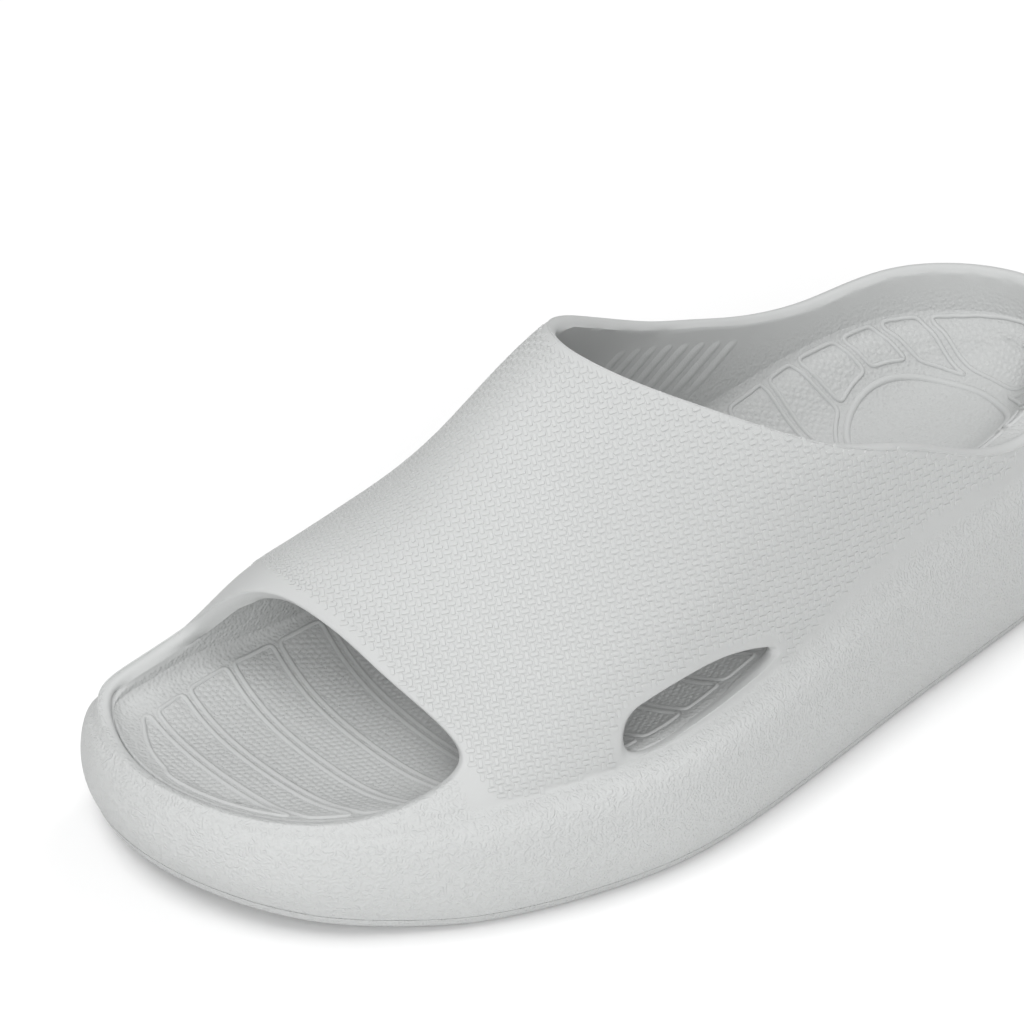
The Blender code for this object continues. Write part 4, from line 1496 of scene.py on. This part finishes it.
# %% Cells
CELL_PITCH = 1.75 * MM
CELL_RADIUS = 0.84 * MM
CELL_HEIGHT = 0.10 * MM
CELL_CLEAR = 1.15 * MM


def inside_loop(points, loop):
    """Which points of the plan lie inside a closed line."""
    ahead = np.roll(loop, -1, axis=0)
    x, y = points[:, :1], points[:, 1:]
    crosses = (loop[:, 1] > y) != (ahead[:, 1] > y)
    rise = np.where(ahead[:, 1] == loop[:, 1], 1e-12, ahead[:, 1] - loop[:, 1])
    at = loop[:, 0] + (y - loop[:, 1]) * (ahead[:, 0] - loop[:, 0]) / rise
    return (crosses & (x < at)).sum(1) % 2 == 1


def cell_places():
    rows = np.arange(-0.135, 0.135, CELL_PITCH * math.sqrt(3) / 2)
    columns = np.arange(-0.06, 0.06, CELL_PITCH)
    grid = np.array([(x + (k % 2) * CELL_PITCH / 2, y) for k, y in enumerate(rows) for x in columns])
    kept = []
    for loop in PANELS:
        near = grid[((grid > loop.min(0)) & (grid < loop.max(0))).all(1)]
        near = near[inside_loop(near, loop)]
        if len(near):
            kept.append(near[distances(near, loop) > CELL_CLEAR])
    return np.vstack(kept)


def cell_ring(radius, height):
    at = np.arange(6) * math.pi / 3 + math.pi / 6
    return [(radius * math.cos(a), radius * math.sin(a), height) for a in at]


CELL_HITS = [on_bed(x, y) for x, y in cell_places()]
CELL_COUNT = len(CELL_HITS)
CELL_POINTS = point_mesh(*zip(*CELL_HITS), [(1, 0, 0)] * CELL_COUNT, [(1, 1, 1)] * CELL_COUNT)
CELL_RINGS = [cell_ring(CELL_RADIUS, -0.05 * MM), cell_ring(CELL_RADIUS * 0.66, CELL_HEIGHT)]
finished("panel_cells", stamped("cell", CELL_RINGS, CELL_POINTS, BED_FINISH),
         RELIEF_FINISH, sharp=75)
BED = finished("footbed", BED_MESH, BED_FINISH)
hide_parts("insole")
print("cells:", CELL_COUNT)

# %% [markdown]
# ## Soft ribs and mould seams
# Inside the collar, on the inner side of the foot, soft slanting ribs grip the instep. They
# could be tubes too, but a tube always meets the wall at a sharp angle. Here they are a
# thin layer whose face swells and sinks under the wall again. Along the rims runs the thin
# seam where the mould halves met, and that is a tube from the sweep tree.

# %% Ribs and seams
RIB_COUNT = 8
RIB_FIRST = 21.0
RIB_STEP = 5.4
RIB_HEIGHT = 0.55 * MM
RIB_SUNK = 0.14 * MM
RIB_BACK = 0.9 * MM
RIB_TOP = (76.0, 20.0, 0.31)
RIB_FALL = (19.0, 13.0)
SEAM_RADIUS = 0.17 * MM


def rib_point(turn, share):
    """Place and facing on the inner wall: turn counts the ribs, share runs down them."""
    height, middle, slope = RIB_TOP
    y = RIB_FIRST + RIB_STEP * turn
    z = height - slope * (y - middle)
    start = Vector((0, (y - RIB_FALL[0] * share) * MM, (z - RIB_FALL[1] * share) * MM))
    place, facing, _, _ = BODY_TREE.ray_cast(start, Vector((-1, 0, 0)))
    return place, facing if facing.x > 0 else -facing


def soft(share):
    share = min(max(share, 0), 1)
    return share * share * (3 - 2 * share)


def rib_layer():
    """A thin closed layer on the inner wall: its face swells into ribs that fade at their ends."""
    across = np.linspace(-0.5, RIB_COUNT - 0.5, RIB_COUNT * 12 + 1)
    cage = Cage()
    face, back = [], []
    for share in np.linspace(0, 1, 31):
        fade = soft(share / 0.16) * soft((1 - share) / 0.4)
        spots = [rib_point(turn, share) for turn in across]
        swell = [math.cos(math.pi * turn) ** 2 * fade * RIB_HEIGHT - RIB_SUNK for turn in across]
        face.append(cage.add_row([p + n * h for (p, n), h in zip(spots, swell)]))
        back.append(cage.add_row([p - n * RIB_BACK for p, n in spots]))
    cage.add_grid(face)
    cage.add_grid([row[::-1] for row in back])
    cage.add_ring_strip(*(
        grid[0][:-1] + [row[-1] for row in grid[:-1]]
        + grid[-1][:0:-1] + [row[0] for row in grid[:0:-1]]
        for grid in (face, back)))
    return cage.refined(0)


finished("instep_ribs", rib_layer(), RELIEF_FINISH)


def seam_path(rim, closed):
    """A rim line laid on the surface, fading at its ends unless it closes."""
    points = [BODY_TREE.find_nearest(Vector(p)) for p in rim]
    fade = np.sqrt(np.sin(np.linspace(0.03, math.pi - 0.03, len(rim))))
    thick = SEAM_RADIUS * (1 if closed else fade)
    return [place + facing * 0.02 * MM for place, facing, _, _ in points], thick, closed


def ear_part(rim):
    """The part of the toe rim on the inner side of the foot, in order."""
    rim = np.roll(rim, -int(rim[:, 0].argmax()), axis=0)
    return rim[rim[:, 0] < -28 * MM]


SEAM_PATHS = [seam_path(ear_part(TOE_RIM), False), seam_path(COLLAR_RIM, True)]
finished("mould_seams", swept(SEAM_PATHS, 6, RELIEF_FINISH), RELIEF_FINISH)

# %% [markdown]
# ## Finish the body
# The body is closed below, where the tread plate and the bed hide it, and takes its place.
# Around the slot the mould leaves a plain frame that lies a little lower than the weave.

# %% Body piece
FRAME_WIDTH = 2.4 * MM
FRAME_DEPTH = 0.15 * MM
FRAME_FADE = 1.2 * MM


def close_body(data):
    """Sink the frame round the slot and close the hidden borders."""
    middle = Vector(SLOT_RIM.mean(0))
    with editing(data) as mesh:
        for row in OPEN_ROWS:
            close_border(mesh, Vector(row[0]))
        bmesh.ops.recalc_face_normals(mesh, faces=mesh.faces)
        mesh.normal_update()
        for vertex in mesh.verts:
            if (vertex.co - middle).length <= 0.04 and vertex.normal.x >= 0.6:
                gap = float(distances(np.array([vertex.co[:]]), SLOT_RIM)[0])
                share = soft((FRAME_WIDTH + FRAME_FADE / 2 - gap) / FRAME_FADE)
                vertex.co -= vertex.normal * FRAME_DEPTH * share
    return data


BODY = finished("slide_body", close_body(BODY_MESH), BODY_FINISH)
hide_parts("upper_and_midsole")

# %% [markdown]
# ## The tread plate
# Below the parting line lies the outsole, a thin plate with a flat border and wide bars.
# It keeps the form of its solid, only with a smoother outline.

# %% Tread plate
def tread_mesh():
    cage = Cage()
    rows = [
        ring_row(OUTSOLE_INSET, BASE + OUTSOLE_THICKNESS - 0.12 * MM),
        ring_row(OUTSOLE_INSET + 0.6 * MM, BASE + 0.3 * OUTSOLE_THICKNESS),
        ring_row(OUTSOLE_INSET + 2.2 * MM, BASE),
        ring_row(OUTSOLE_INSET + 7.5 * MM, BASE),
        ring_row(OUTSOLE_INSET + 8.5 * MM, BASE + LUG_DEPTH),
    ]
    ids = [cage.add_row(row) for row in rows]
    for low, high in zip(ids, ids[1:]):
        cage.add_ring_strip(high, low)
    data = cage.refined(2)
    with editing(data) as mesh:
        close_border(mesh, Vector(rows[0][0]))
        strips = close_border(mesh, Vector(rows[-1][0]))
        for bar in [strips[k:k + 6] for k in range(4, len(strips) - 8, 8)]:
            bmesh.ops.inset_region(mesh, faces=bar, thickness=LUG_TAPER, use_even_offset=True)
            for vertex in {v for face in bar for v in face.verts}:
                vertex.co.z -= LUG_DEPTH
    return data


TREAD = finished("tread_plate", tread_mesh(), SOLE_FINISH, sharp=35)
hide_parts("outsole")

# %% [markdown]
# ## Floor and light
# The photograph is lit like a catalogue: a white sweep and broad soft lights all round, so
# that shadows are faint. A pale world and three large disks do it: one in front, one high
# on the left and one behind. The paper clips to white while the foam stays grey.

# %% Studio
LAMP_SIZE = 1.4
LAMP_DISTANCE = 2.2
LAMP_AIM = Vector((0, 0, 0.04))


def add_area(name, azimuth, elevation, power):
    data = bpy.data.lights.new(name, "AREA")
    data.shape = "DISK"
    data.size = LAMP_SIZE
    data.energy = power
    lamp = add_object(name, data)
    lamp.location = direction(math.radians(azimuth), math.radians(elevation)) * LAMP_DISTANCE
    lamp.rotation_euler = (lamp.location - LAMP_AIM).to_track_quat("Z", "Y").to_euler()


def add_floor(half):
    corners = [(-half, -half, 0), (half, -half, 0), (half, half, 0), (-half, half, 0)]
    floor = add_object("floor", new_mesh("floor", corners, faces=[(0, 1, 2, 3)]))
    material, nodes, shader = new_material("white_paper", 0.9, 0.0)
    nodes.give(shader, "Base Color", (0.93, 0.93, 0.93, 1))
    floor.data.materials.append(material)


def add_world(strength):
    world = bpy.data.worlds.new("studio")
    world.use_nodes = True
    background = world.node_tree.nodes["Background"]
    background.inputs["Color"].default_value = (1, 1, 1, 1)
    background.inputs["Strength"].default_value = strength
    bpy.context.scene.world = world


add_floor(6.0)
add_world(0.38)
for lamp in (("front", 49, 30, 26), ("left", -10, 65, 22), ("rear", 180, 50, 14)):
    add_area(*lamp)
bpy.context.scene.view_settings.view_transform = "Standard"
